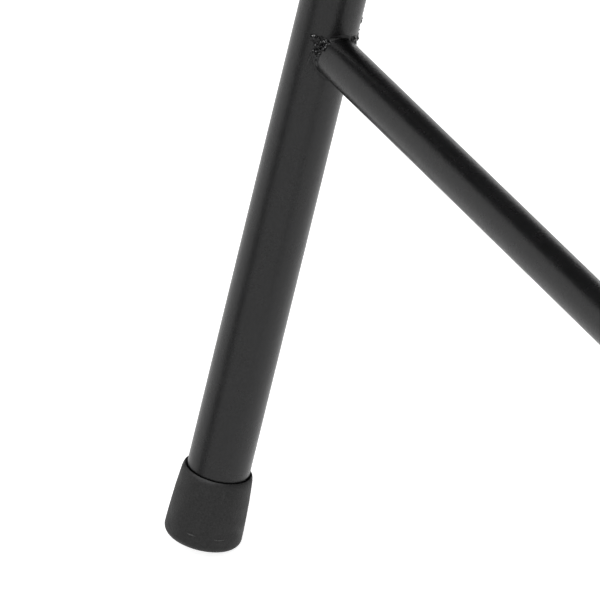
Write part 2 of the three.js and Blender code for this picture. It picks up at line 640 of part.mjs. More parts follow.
const SEAT_PLATE = 6;
const SPINDLE_BELOW_BUSH = 20;
const spindleLow = POST_TOP - BUSH_LENGTH - SPINDLE_BELOW_BUSH;
const plateTop = PAN_UNDERSIDE - GAP;
const collar = bushTop + GAP;
const seatPlate = extrude(roundedRect(-80, -80, 80, 80, 10), SEAT_PLATE, 4)
  .translate(0, 0, plateTop - SEAT_PLATE);
add(stand, "seat_spindle", join(
  lathe([
    [0, spindleLow], [SPINDLE_R, spindleLow], [SPINDLE_R, collar],
    [POST_R, collar], [POST_R, collar + 8], [SPINDLE_R, collar + 12], [SPINDLE_R, plateTop - SEAT_PLATE / 2],
    [0, plateTop - SEAT_PLATE / 2],
  ], 24),
  seatPlate,
), blackPaint);

// The pan: a steel sheet with a rear lip and an ear at each rear side, which carries the backrest's hinge.
const EAR_R = 16;
const PIVOT_Z = SEAT_TOP + PIVOT_ABOVE_PAN;
const PAN_EAR = PAN_HALF_WIDTH - SHEET;
const EAR_FOOT = [PIVOT_Y - 45, PIVOT_Y + 28]; // where an ear stands on the pan
const LIP_HALF_WIDTH = 150;
const LIP_HEIGHT = 20;
function panEar(side) {
  const ear = new THREE.Shape();
  ear.moveTo(EAR_FOOT[0], SEAT_TOP - SHEET / 2).lineTo(EAR_FOOT[1], SEAT_TOP - SHEET / 2);
  ear.lineTo(PIVOT_Y + EAR_R, PIVOT_Z).absarc(PIVOT_Y, PIVOT_Z, EAR_R, 0, Math.PI);
  return sheetYZ(ear, side > 0 ? PAN_EAR : -PAN_HALF_WIDTH, side > 0 ? PAN_HALF_WIDTH : -PAN_EAR);
}
const pivotHole = (y, z) => alongX(pipe(PIVOT_R + GAP, 0, -2 * PAN_EAR, 2 * PAN_EAR, 6)).translate(0, y, z);
const panSheet = extrude(roundedRect(-PAN_HALF_WIDTH, PAN_FRONT, PAN_HALF_WIDTH, PAN_REAR, 18), SHEET, 4)
  .translate(0, 0, PAN_UNDERSIDE);
const panLip = block(
  -LIP_HALF_WIDTH, PAN_REAR - SHEET, PAN_UNDERSIDE + 1, LIP_HALF_WIDTH, PAN_REAR, SEAT_TOP + LIP_HEIGHT,
);
const pan = cut(join(panSheet, panLip, panEar(-1), panEar(1)), pivotHole(PIVOT_Y, PIVOT_Z));
add(stand, "seat_pan", pan, blackPaint);

const CUSHION_CORNER = 40;
const cushion = (x0, y0, x1, y1, thick) => extrude(roundedRect(x0, y0, x1, y1, CUSHION_CORNER), thick, 4);
add(stand, "seat_cushion", cushion(-200, -197, 200, 185, CUSHION_THICK), seatCloth)
  .position.z = SEAT_TOP + GAP;

// The backrest, in a frame whose origin is the hinge and whose +Z runs up the reclined sheet.
const back = new THREE.Group();
back.position.set(0, PIVOT_Y, PIVOT_Z);
back.rotation.x = -RECLINE;
stand.add(back);

const BACK_EAR = PAN_HALF_WIDTH + 2 * GAP;
const BACK_HALF_WIDTH = BACK_EAR + SHEET;
const BACK_EAR_FOOT = [-40, 60]; // where an ear joins the sheet, from the hinge
function backEar(side) {
  const ear = new THREE.Shape();
  ear.moveTo(BACK_OFFSET + SHEET / 2, BACK_EAR_FOOT[0]).lineTo(BACK_OFFSET + SHEET / 2, BACK_EAR_FOOT[1]);
  ear.lineTo(0, EAR_R).absarc(0, 0, EAR_R, Math.PI / 2, 1.5 * Math.PI);
  return sheetYZ(ear, side > 0 ? BACK_EAR : -BACK_HALF_WIDTH, side > 0 ? BACK_HALF_WIDTH : -BACK_EAR);
}
const backOutline = roundedRect(-BACK_HALF_WIDTH, -BACK_BELOW, BACK_HALF_WIDTH, BACK_HEIGHT, 24);
const backSheet = extrude(backOutline, SHEET, 4)
  .rotateX(Math.PI / 2)
  .translate(0, BACK_OFFSET + SHEET, 0);
add(back, "backrest_sheet", cut(join(backSheet, backEar(-1), backEar(1)), pivotHole(0, 0)), blackPaint);
add(back, "backrest_cushion", cushion(-196, 8, 196, BACK_HEIGHT - 5, BACK_OFFSET - GAP)
  .rotateX(Math.PI / 2).translate(0, BACK_OFFSET - GAP, 0), seatCloth);

// A shouldered bolt through each pair of ears, in three turned steps.
function pivotBolt(side) {
  const inner = PAN_EAR - GAP;
  const outer = BACK_HALF_WIDTH + GAP;
  const bolt = lathe([
    [0, inner - 3.5], [7, inner - 3.5], [9, inner - 1.5], [9, inner], [PIVOT_R, inner], [PIVOT_R, outer],
    [8.5, outer], [8.5, outer + 5], [PIVOT_R, outer + 5], [PIVOT_R - 1, outer + 7], [0, outer + 7],
  ], 12);
  return side > 0 ? alongX(bolt) : bolt.rotateY(-Math.PI / 2);
}
for (const [side, sign] of [["left", -1], ["right", 1]]) {
  add(stand, `backrest_bolt_${side}`, pivotBolt(sign), zinc).position.set(0, PIVOT_Y, PIVOT_Z);
}

// ---- Place the origin on the ground at the centre of the footprint's box ------------------------
stand.updateMatrixWorld(true);
const box = new THREE.Box3().setFromObject(stand, true);
stand.position.set(0, -(box.min.y + box.max.y) / 2, -box.min.z);

export default stand;
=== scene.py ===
"""Looks of a tripod hunting stand: painted tube, rubber boots, welds, foam sleeves and sewn cushions."""

import math
import random

import bmesh
import bpy
from mathutils import Matrix, Vector, noise
from mathutils.bvhtree import BVHTree

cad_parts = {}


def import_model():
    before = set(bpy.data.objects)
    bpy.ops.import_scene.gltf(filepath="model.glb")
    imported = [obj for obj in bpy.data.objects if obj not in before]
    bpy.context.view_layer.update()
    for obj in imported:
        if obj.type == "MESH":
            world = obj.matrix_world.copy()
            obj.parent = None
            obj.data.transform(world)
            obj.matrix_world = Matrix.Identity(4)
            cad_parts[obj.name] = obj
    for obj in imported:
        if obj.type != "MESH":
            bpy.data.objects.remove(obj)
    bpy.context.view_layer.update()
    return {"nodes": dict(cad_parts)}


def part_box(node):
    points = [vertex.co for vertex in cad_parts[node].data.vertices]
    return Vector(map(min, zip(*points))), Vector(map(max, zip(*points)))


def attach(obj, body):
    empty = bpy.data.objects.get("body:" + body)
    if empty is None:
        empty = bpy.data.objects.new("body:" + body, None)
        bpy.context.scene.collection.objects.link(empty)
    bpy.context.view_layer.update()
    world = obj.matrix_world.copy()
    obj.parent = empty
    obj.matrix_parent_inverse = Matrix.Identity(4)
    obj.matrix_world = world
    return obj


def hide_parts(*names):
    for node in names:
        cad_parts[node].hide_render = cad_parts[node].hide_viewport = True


# noise_vector follows the clock until it is seeded
noise.seed_set(7)

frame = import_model()

# ---- Dimensions of the CAD model, in metres -------------------------------------------------------------
GAP = 0.0003
LEAN = math.radians(14.2)
RAIL_R = 0.019
TUBE_WALL = 0.0015
RUNG_R = 0.013
HALF_LADDER = 0.230
RUNG_COUNT = 4
FIRST_RUNG = 0.3286
RUNG_PITCH = 0.302
END_GAP = 0.0011
BOOT_HEIGHT = 0.0461
BOOT_R = 0.0236
BOOT_EDGE = 0.0044
BOOT_FLOOR = 0.008
DECK_TOP = 1.5
RIM_APOTHEM = 0.430
RIM_WIDTH = 0.025
RIM_HEIGHT = 0.035
SOCKET_R = 0.0225
SOCKET_LENGTH = 0.145
SOCKET_CAP = 0.003
BOLT_R = 0.004
HEAD_R = 0.0075
HEAD_HIGH = 0.0055
BOLT_FROM_TOP = 0.070
BRACE_R = 0.0125
SIDE_BRACE_HEIGHT = 0.770
REAR_BRACE_HEIGHT = 0.830
TAB_HALF_THICK = 0.0025
TAB_HALF_HEIGHT = 0.0175
GUARD_R = 0.0125
GUARD_Z = DECK_TOP + 0.880
GUARD_BEND_R = 0.050
GATE_OPENING = 0.192
GUARD_SPLIT_X = 0.165
PAD_R = 0.024
PAD_LENGTH = 0.330
GATE_PIVOT_X = -0.170
GATE_GRIP = 0.0163
JOIST_X = 0.085
SLAT_PITCH = 0.044
SLAT_COUNT = 19
POST_R = 0.030
POST_TOP = DECK_TOP + 0.300
SPINDLE_R = 0.016
PAN_UNDERSIDE = DECK_TOP + 0.390
SHEET = 0.003
PLATE_THICK = 0.006
SEAT_TOP = PAN_UNDERSIDE + SHEET
PIVOT_Y = 0.160
PIVOT_Z = SEAT_TOP + 0.075
RECLINE = math.radians(8)
BACK_OFFSET = 0.045

RIM_OUTSIDE = RIM_APOTHEM + RIM_WIDTH / 2
RIM_BOTTOM = DECK_TOP - RIM_HEIGHT
BOOT_FLAT_R = BOOT_R - BOOT_EDGE
FOOT_Z = BOOT_FLAT_R * math.sin(LEAN) + BOOT_EDGE * (1 - math.cos(LEAN))
FOOT_OUT = RIM_OUTSIDE + GAP + SOCKET_R / math.cos(LEAN) + (DECK_TOP - FOOT_Z) * math.tan(LEAN)
SOCKET_TOP = (DECK_TOP - FOOT_Z) / math.cos(LEAN)
BOLT_AT = SOCKET_TOP - BOLT_FROM_TOP
HALF_SIDE = RIM_APOTHEM * math.tan(math.pi / 6)
POST_OUT = 2 * HALF_SIDE - GUARD_BEND_R * (1 / math.cos(math.pi / 6) - 1)

# the tripod axis where it meets the ground, in the row frame
post_low, post_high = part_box("seat_post")
ROW = Matrix.Translation((0, (post_low[1] + post_high[1]) / 2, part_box("deck_grate")[1][2] - DECK_TOP))


def station(turn):
    return ROW @ Matrix.Rotation(math.radians(turn), 4, "Z")


def leg_frame(turn, x=0.0):
    """+Z runs up a leaning leg, and the origin is the middle of its boot's sole."""
    return station(turn) @ Matrix.Translation((x, -FOOT_OUT, FOOT_Z)) @ Matrix.Rotation(-LEAN, 4, "X")


LEGS = {
    "ladder_rail_left": ("ladder_boot_left", "ladder_socket_left", "ladder_bolt_left", 0, -HALF_LADDER),
    "ladder_rail_right": ("ladder_boot_right", "ladder_socket_right", "ladder_bolt_right", 0, HALF_LADDER),
    "rear_leg_left": ("rear_boot_left", "rear_socket_left", "rear_bolt_left", -120, 0.0),
    "rear_leg_right": ("rear_boot_right", "rear_socket_right", "rear_bolt_right", 120, 0.0),
}


# ---- Camera -----------------------------------------------------------------------------------------------
def toward(azimuth, elevation):
    """The way from the stand to what stands at these angles, where azimuth 0 is in front of the ladder."""
    level = math.cos(elevation)
    return Vector((math.sin(azimuth) * level, -math.cos(azimuth) * level, math.sin(elevation)))


def make_camera():
    """Looks at the first rung's left end from the ladder's right, from above, with a long lens."""
    azimuth, elevation = math.radians(62.5), math.radians(31.8)
    lens, sensor = 648.0, 36.0
    distance = 6.3
    joint = leg_frame(0, -HALF_LADDER) @ Vector((0, 0, FIRST_RUNG))
    right = Vector((math.cos(azimuth), math.sin(azimuth), 0))
    back = toward(azimuth, elevation)
    up = back.cross(right)
    # the joint's place in the picture, as shares of its width from the middle
    across, above = 0.0371, 0.4277
    width = sensor / lens * distance
    data = bpy.data.cameras.new("camera")
    data.lens, data.sensor_width = lens, sensor
    data.clip_start, data.clip_end = 0.1, 400
    camera = bpy.data.objects.new("camera", data)
    camera.matrix_world = Matrix.Translation(
        joint + back * distance - right * (across * width) - up * (above * width)
    ) @ Matrix((right, up, back)).transposed().to_4x4()
    bpy.context.scene.collection.objects.link(camera)
    bpy.context.scene.camera = camera


make_camera()


# ---- Materials --------------------------------------------------------------------------------------------
class Graph:
    """A node tree, with short ways to add to it."""

    def __init__(self, tree):
        self.tree = tree

    def make(self, kind, **settings):
        node = self.tree.nodes.new(kind)
        for key, value in settings.items():
            setattr(node, key, value)
        return node

    def link(self, a, b):
        self.tree.links.new(a, b)

    def math(self, operation, a, b=None):
        node = self.make("ShaderNodeMath", operation=operation)
        for socket, value in zip(node.inputs, (a, b)):
            if isinstance(value, (int, float)):
                socket.default_value = value
            elif value is not None:
                self.link(value, socket)
        return node.outputs["Value"]

    def smooth(self, value, low, high, bottom=0.0, top=1.0):
        """Eases from bottom to top as value goes from low to high."""
        node = self.make("ShaderNodeMapRange", interpolation_type="SMOOTHSTEP")
        for name, number in (("From Min", low), ("From Max", high), ("To Min", bottom), ("To Max", top)):
            node.inputs[name].default_value = number
        self.link(value, node.inputs["Value"])
        return node.outputs["Result"]


class Nodes(Graph):
    """A material's nodes."""

    def __init__(self, name, color, roughness, metallic=0.0, specular=0.5):
        self.material = bpy.data.materials.new(name)
        self.material.use_nodes = True
        super().__init__(self.material.node_tree)
        self.shader = self.tree.nodes["Principled BSDF"]
        self.shader.inputs["Base Color"].default_value = (*color, 1)
        self.shader.inputs["Roughness"].default_value = roughness
        self.shader.inputs["Metallic"].default_value = metallic
        self.shader.inputs["Specular IOR Level"].default_value = specular
        self.place = self.make("ShaderNodeTexCoord").outputs["Object"]

    def noise(self, scale, detail=3.0, roughness=0.55, stretch=None):
        node = self.make("ShaderNodeTexNoise")
        node.inputs["Scale"].default_value = scale
        node.inputs["Detail"].default_value = detail
        node.inputs["Roughness"].default_value = roughness
        place = self.place
        if stretch:
            mapping = self.make("ShaderNodeMapping")
            mapping.inputs["Scale"].default_value = stretch
            self.link(self.place, mapping.inputs["Vector"])
            place = mapping.outputs["Vector"]
        self.link(place, node.inputs["Vector"])
        return node.outputs["Fac"]

    def ramp(self, value, stops):
        """A colour ramp; each stop is (position, grey or (r, g, b))."""
        node = self.make("ShaderNodeValToRGB")
        self.link(value, node.inputs["Fac"])
        elements = node.color_ramp.elements
        while len(elements) < len(stops):
            elements.new(0.5)
        for element, (position, tone) in zip(elements, stops):
            element.position = position
            element.color = (*tone, 1) if isinstance(tone, tuple) else (tone, tone, tone, 1)
        return node.outputs["Color"]

    def mix(self, share, a, b):
        node = self.make("ShaderNodeMix", data_type="RGBA")
        self.link(share, node.inputs["Factor"])
        for socket, value in ((node.inputs["A"], a), (node.inputs["B"], b)):
            if isinstance(value, tuple):
                socket.default_value = (*value, 1)
            else:
                self.link(value, socket)
        return node.outputs["Result"]

    def specks(self, scale, size, share):
        """Small round spots: 1 inside, 0 outside, on a share of the cells."""
        cells = self.make("ShaderNodeTexVoronoi")
        cells.inputs["Scale"].default_value = scale
        self.link(self.place, cells.inputs["Vector"])
        near = self.math("LESS_THAN", cells.outputs["Distance"], size)
        split = self.make("ShaderNodeSeparateColor")
        self.link(cells.outputs["Color"], split.inputs["Color"])
        return self.math("MULTIPLY", near, self.math("LESS_THAN", split.outputs["Red"], share))

    def color(self, value):
        self.link(value, self.shader.inputs["Base Color"])

    def rough(self, value):
        self.link(value, self.shader.inputs["Roughness"])

    def bump(self, *layers):
        """Bump from (height, distance in metres) layers, laid over each other."""
        normal = None
        for height, distance in layers:
            node = self.make("ShaderNodeBump")
            node.inputs["Distance"].default_value = distance
            self.link(height, node.inputs["Height"])
            if normal:
                self.link(normal, node.inputs["Normal"])
            normal = node.outputs["Normal"]
        self.link(normal, self.shader.inputs["Normal"])


def paint_material(name, low, high, specular=0.47):
    """Black powder coat: fine orange peel, faint clouding, a few specks of dust."""
    m = Nodes(name, (0.005, 0.005, 0.0052), (low + high) / 2, specular=specular)
    clouds = m.noise(22, 4)
    tone = m.ramp(clouds, [(0.3, (0.0034, 0.0034, 0.0036)), (0.75, (0.0056, 0.0056, 0.006))])
    dust = m.specks(75, 0.022, 0.035)
    m.color(m.mix(dust, tone, (0.22, 0.22, 0.22)))
    m.rough(m.ramp(m.noise(60, 4), [(0.3, low), (0.7, high)]))
    grain = m.ramp(m.noise(900, 3, 0.75), [(0.3, specular * 0.8), (0.7, specular * 1.2)])
    m.link(grain, m.shader.inputs["Specular IOR Level"])
    m.bump((m.noise(900, 3, 0.7), 0.00013), (m.noise(240, 2), 0.00010))
    return m.material


def rubber_material(name, tone, scuff):
    m = Nodes(name, (tone, tone, tone * 1.02), 0.6, specular=0.4)
    base = m.ramp(m.noise(700, 4, 0.8), [(0.3, tone * 0.4), (0.7, tone * 1.6)])
    grain = m.ramp(m.noise(900, 3, 0.75), [(0.32, 0.32), (0.68, 0.48)])
    m.link(grain, m.shader.inputs["Specular IOR Level"])
    marks = m.ramp(m.noise(130, 6, 0.7, stretch=(1, 1, 0.35)), [(0.66, 0.0), (0.75, scuff)])
    m.color(m.mix(marks, base, (0.16, 0.16, 0.165)))
    m.rough(m.ramp(m.noise(90, 4), [(0.3, 0.48), (0.7, 0.66)]))
    m.bump((m.noise(900, 3, 0.7), 0.00022), (m.noise(300, 2), 0.00012))
    return m.material


def foam_material():
    m = Nodes("foam", (0.02, 0.02, 0.02), 0.92, specular=0.25)
    cells = m.make("ShaderNodeTexVoronoi")
    cells.inputs["Scale"].default_value = 900
    m.link(m.place, cells.inputs["Vector"])
    m.color(m.ramp(m.noise(40, 5), [(0.3, 0.014), (0.7, 0.026)]))
    m.rough(m.ramp(m.noise(50, 2), [(0.3, 0.85), (0.7, 0.97)]))
    m.bump((cells.outputs["Distance"], 0.0003), (m.noise(120, 3), 0.0005))
    return m.material


def cloth_material():
    """A plain weave of thick yarn, with slight fading."""
    m = Nodes("cloth", (0.03, 0.032, 0.026), 0.9, specular=0.2)
    m.shader.inputs["Sheen Weight"].default_value = 0.25
    m.shader.inputs["Sheen Roughness"].default_value = 0.5
    waves = []
    for direction in ("X", "Y", "Z"):
        wave = m.make("ShaderNodeTexWave", wave_type="BANDS", bands_direction=direction)
        wave.inputs["Scale"].default_value = 210
        wave.inputs["Distortion"].default_value = 0.6
        m.link(m.place, wave.inputs["Vector"])
        waves.append(wave.outputs["Fac"])
    weave = m.math("MULTIPLY", m.math("MAXIMUM", waves[0], waves[1]), m.math("MAXIMUM", waves[1], waves[2]))
    faded = m.ramp(m.noise(14, 5), [(0.3, (0.024, 0.026, 0.020)), (0.72, (0.046, 0.048, 0.038))])
    thread = m.ramp(weave, [(0.1, 0.45), (0.8, 1.0)])
    shade = m.make("ShaderNodeMix", data_type="RGBA", blend_type="MULTIPLY")
    shade.inputs["Factor"].default_value = 1
    m.link(faded, shade.inputs["A"])
    m.link(thread, shade.inputs["B"])
    m.color(shade.outputs["Result"])
    m.rough(m.ramp(m.noise(30, 3), [(0.3, 0.82), (0.7, 0.96)]))
    m.bump((weave, 0.0002), (m.noise(45, 4), 0.0012))
    return m.material


def trim_material(name, color, roughness, metallic, scratches):
    m = Nodes(name, color, roughness, metallic)
    dark = tuple(c * 0.7 for c in color)
    m.color(m.mix(m.ramp(m.noise(70, 5), [(0.35, 0.0), (0.7, 1.0)]), color, dark))
    m.rough(m.ramp(m.noise(160, 4, stretch=(1, 1, 6)), [(0.3, roughness * 0.75), (0.7, roughness * 1.25)]))
    m.bump((m.noise(900, 3), scratches))
    return m.material


PAINT = paint_material("paint", 0.22, 0.30)
WELD_PAINT = paint_material("weld_paint", 0.12, 0.20, 0.26)
RUBBER = rubber_material("rubber", 0.0085, 0.25)
# a lighter, duller grey for some paint runs: painted sheen standing in for the light streaks along them
RUN_SHEEN_PAINT = rubber_material("paint_run_sheen", 0.02, 0.1)
# the flash lines' much lighter grey is a painted highlight along their ridges
FLASH_HIGHLIGHT = rubber_material("rubber_flash_highlight", 0.045, 0.6)
FOAM = foam_material()
CLOTH = cloth_material()
PIPING = trim_material("piping", (0.012, 0.012, 0.012), 0.55, 0.0, 0.0001)
NYLON = trim_material("nylon", (0.018, 0.018, 0.018), 0.42, 0.0, 0.00004)
ZINC = trim_material("zinc", (0.46, 0.46, 0.45), 0.34, 1.0, 0.00003)


# ---- Mesh building ----------------------------------------------------------------------------------------
def piece(name, bm, materials, body, nodes=(), sharp=38):
    """Makes the object, puts it on its body and hides the CAD parts it stands for."""
    bmesh.ops.recalc_face_normals(bm, faces=bm.faces)
    mesh = bpy.data.meshes.new(name)
    bm.to_mesh(mesh)
    bm.free()
    return finish_piece(name, mesh, materials, body, nodes, sharp)


def finish_piece(name, mesh, materials, body, nodes=(), sharp=38):
    mesh.polygons.foreach_set("use_smooth", [True] * len(mesh.polygons))
    mesh.set_sharp_from_angle(angle=math.radians(sharp))
    if len(mesh.materials):  # clearing also resets every face to the first material
        mesh.materials.clear()
    for material in materials:
        mesh.materials.append(material)
    obj = bpy.data.objects.new(name, mesh)
    bpy.context.scene.collection.objects.link(obj)
    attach(obj, body)
    if nodes:
        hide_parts(*nodes)
    return obj


def skin(bm, a, b, material=0):
    """Faces between two rings, or between a ring and a point."""
    count = max(len(a), len(b))
    for i in range(count):
        j = (i + 1) % count
        if len(a) == 1:
            corners = (a[0], b[i], b[j])
        elif len(b) == 1:
            corners = (a[i], b[0], a[j])
        else:
            corners = (a[i], b[i], b[j], a[j])
        bm.faces.new(corners).material_index = material


def ring(bm, points):
    return [bm.verts.new(p) for p in points]


def full_turn(count):
    """Evenly set angles all the way round."""
    return [2 * math.pi * i / count for i in range(count)]


def polar(r, t, z):
    return Vector((r * math.cos(t), r * math.sin(t), z))


def loft(bm, rings, material=0, caps=True):
    """Skins a row of rings. caps closes both ends with flat faces."""
    for a, b in zip(rings, rings[1:]):
        skin(bm, a, b, material)
    if caps:
        bm.faces.new(rings[0]).material_index = material
        bm.faces.new(rings[-1]).material_index = material


def revolve(bm, profile, place, segments=64, material=0):
    """Turns (radius, z) pairs about Z. A profile that doesn't end on the axis closes on itself."""
    rings = []
    for r, z in profile:
        turns = full_turn(segments) if r > 1e-7 else [0.0]
        rings.append(ring(bm, [place @ polar(r, t, z) for t in turns]))
    loft(bm, rings, material, caps=False)
    if len(rings[0]) > 1 and len(rings[-1]) > 1:
        skin(bm, rings[-1], rings[0], material)


def tube_profile(outer, inner, low, high, edge=0.0004):
    return [
        (inner, low + edge), (inner + edge, low), (outer - edge, low), (outer, low + edge),
        (outer, high - edge), (outer - edge, high), (inner + edge, high), (inner, high - edge),
    ]


def sweep(bm, points, radius, segments=32, closed=False, material=0):
    """A round bar along points. radius is one number, or one for each point."""
    count = len(points)
    radii = list(radius) if hasattr(radius, "__len__") else [radius] * count
    turns = full_turn(segments)
    normal = None
    rings = []
    for i, p in enumerate(points):
        before = points[i - 1] if closed or i > 0 else p
        after = points[(i + 1) % count] if closed or i < count - 1 else p
        along = (after - before).normalized()
        normal = along.orthogonal() if normal is None else normal
        normal = (normal - along * normal.dot(along)).normalized()
        side = along.cross(normal)
        rings.append(ring(bm, [p + radii[i] * (math.cos(t) * normal + math.sin(t) * side) for t in turns]))
    loft(bm, rings, material, caps=not closed)
    if closed:
        last, first = rings[-1], rings[0]
        shift = min(range(segments), key=lambda k: (first[k].co - last[0].co).length)
        skin(bm, last, first[shift:] + first[:shift], material)


def plate(bm, outline, thickness, place, edge=0.0006):
    """A flat plate: outline is (x, y) pairs, and it runs from z = 0 to z = thickness, with broken edges."""
    centre = Vector((sum(x for x, _ in outline), sum(y for _, y in outline), 0)) / len(outline)

    def inset(z, by):
        loop = []
        for x, y in outline:
            away = Vector((x, y, 0)) - centre
            loop.append(place @ (centre + away * (1 - by / max(away.length, 1e-6)) + Vector((0, 0, z))))
        return ring(bm, loop)

    loft(bm, [inset(0, edge), inset(edge, 0), inset(thickness - edge, 0), inset(thickness, edge)])


def arc(centre_x, centre_y, r, start, end, steps):
    """Points of an arc, in degrees."""
    turns = [math.radians(start + (end - start) * i / steps) for i in range(steps + 1)]
    return [(centre_x + r * math.cos(t), centre_y + r * math.sin(t)) for t in turns]


def weld_bead(bm, points, size, seed, closed=True, material=0):
    """A weld: a bead of overlapping ripples along a line of closely set points."""
    ripple = 0.0022
    travelled = 0.0
    radii, line = [], []
    for i, p in enumerate(points):
        if i:
            travelled += (p - points[i - 1]).length
        wander = noise.noise_vector(p * 260 + Vector((seed, 0, 0))) * size * 0.16
        fat = 1 + 0.10 * abs(math.sin(math.pi * travelled / ripple))
        fat += 0.16 * noise.noise(p * 330 + Vector((0, seed, 0)))
        if not closed:
            end = min(i, len(points) - 1 - i) / max(len(points) - 1, 1)
            fat *= math.sqrt(min(1, 0.15 + end * 8))
        radii.append(size * fat)
        line.append(p + wander)
    sweep(bm, line, radii, 12, closed, material)


def between(a, b, step=0.0008):
    count = max(2, int((b - a).length / step))
    return [a.lerp(b, i / count) for i in range(count + 1)]


def circle(place, r, step=0.0008):
    return [place @ polar(r, t, 0) for t in full_turn(int(2 * math.pi * r / step))]


def evaluated_mesh(obj):
    graph = bpy.context.evaluated_depsgraph_get()
    return bpy.data.meshes.new_from_object(obj.evaluated_get(graph))


# ---- Bolts ------------------------------------------------------------------------------------------------
def hexagonal(bm, place, corner_r, low, high, material=0):
    """A hexagonal head from z = low to z = high, with its outer corners turned off."""

    def hexring(z, limit):
        loop = []
        for t in full_turn(72):
            from_flat = (t + math.pi / 6) % (math.pi / 3) - math.pi / 6
            r = min(corner_r / math.cos(from_flat) * math.cos(math.pi / 6), limit * corner_r)
            loop.append(place @ polar(r, t, z))
        return ring(bm, loop)

    step = 1 if high > low else -1
    loft(bm, [
        hexring(low, 1), hexring(high - step * 0.0009, 1),
        hexring(high - step * 0.0003, 0.93), hexring(high, 0.86),
    ], material)


def bolt(name, place, grip, shank_r, head_r, head_high, body, nodes):
    """A bolt along +X of place, with the parts it holds between x = -grip and x = +grip."""
    bm = bmesh.new()
    place = place @ Matrix.Rotation(math.pi / 2, 4, "Y")
    washer, edge = 0.0015, 0.0003
    for low, high in ((-grip - washer, -grip), (grip, grip + washer)):
        revolve(bm, tube_profile(head_r + 0.0016, shank_r, low, high, edge), place, 48)
    hexagonal(bm, place, head_r, -grip - washer, -grip - washer - head_high)
    hexagonal(bm, place, head_r, grip + washer, grip + washer + head_high * 0.75)
    top = grip + washer + head_high
    revolve(bm, [(shank_r, top - 0.002), (head_r * 0.78, top - 0.002), (head_r * 0.78, top - 0.0006),
                 (head_r * 0.70, top), (shank_r, top)], place, 48)
    thread = [(0, -grip)]
    z = grip + washer
    while z < top + 0.0015:
        thread += [(shank_r - 0.0004, z), (shank_r, z + 0.0005)]
        z += 0.001
    thread += [(shank_r - 0.0009, z), (0, z)]
    revolve(bm, [thread[0], (shank_r - 0.0002, -grip)] + thread[1:], place, 32)
    return piece(name, bm, [ZINC], body, nodes, sharp=32)


# ---- Legs, boots and sockets ------------------------------------------------------------------------------
def leg(name, place):
    bm = bmesh.new()
    low, high = BOOT_FLOOR + GAP, SOCKET_TOP - SOCKET_CAP - GAP
    revolve(bm, tube_profile(RAIL_R, RAIL_R - TUBE_WALL, low, high), place, 96)
    piece("tube_" + name, bm, [PAINT], "stand", [name])


def boot_outline():
    """(radius, z) pairs from the sole's middle up the outside, over the lip and down the inside."""
    outline = [(0, 0.0012), (0.012, 0.0012), (0.0128, 0.0), (BOOT_FLAT_R, 0)]
    steps = 8
    for i in range(1, steps + 1):
        a = math.pi / 2 * i / steps
        outline.append((BOOT_FLAT_R + BOOT_EDGE * math.sin(a), BOOT_EDGE * (1 - math.cos(a))))
    outline += [(0.0235, 0.010), (0.0231, 0.020), (0.0226, 0.030)]
    # the lip, as (radius, distance below the top)
    for r, below in (
        (0.0220, 0.0085), (0.0217, 0.0052), (0.02155, 0.0035), (0.0213, 0.0022), (0.0209, 0.0007),
        (0.0203, 0), (0.0197, 0.0001), (0.0193, 0.0007), (RAIL_R + GAP / 2, 0.003),
    ):
        outline.append((r, BOOT_HEIGHT - below))
    return outline + [(RAIL_R + GAP / 2, BOOT_FLOOR), (0, BOOT_FLOOR)]


def wall_radius(outline, z):
    """The outside radius of a boot at a height."""
    for (r0, z0), (r1, z1) in zip(outline, outline[1:]):
        if z0 <= z <= z1 and z1 > z0:
            return r0 + (r1 - r0) * (z - z0) / (z1 - z0)
    return BOOT_R


# short lines of moulding flash a little above a boot's bottom edge: (angle, length, height)
FLASH_LINES = [(-50, 0.0056, 0.0100), (-7, 0.0070, 0.0101), (75, 0.006, 0.0097), (165, 0.0065, 0.0102)]
FLASH_R = 0.00042


def boot(name, place):
    bm = bmesh.new()
    outline = boot_outline()
    revolve(bm, outline, place, 96)
    # the flash lines take the second material, whose lighter grey paints their highlight
    for turn, length, z in FLASH_LINES:
        r = wall_radius(outline, z)
        half = length / 2 / r
        shares = [i / 6 - 1 for i in range(13)]
        line = [place @ polar(r, math.radians(turn) + half * share, z) for share in shares]
        sweep(bm, line, [FLASH_R * math.sqrt(max(0.02, 1 - share ** 2)) for share in shares], 8, material=1)
    piece("rubber_" + name, bm, [RUBBER, FLASH_HIGHLIGHT], "stand", [name], sharp=50)


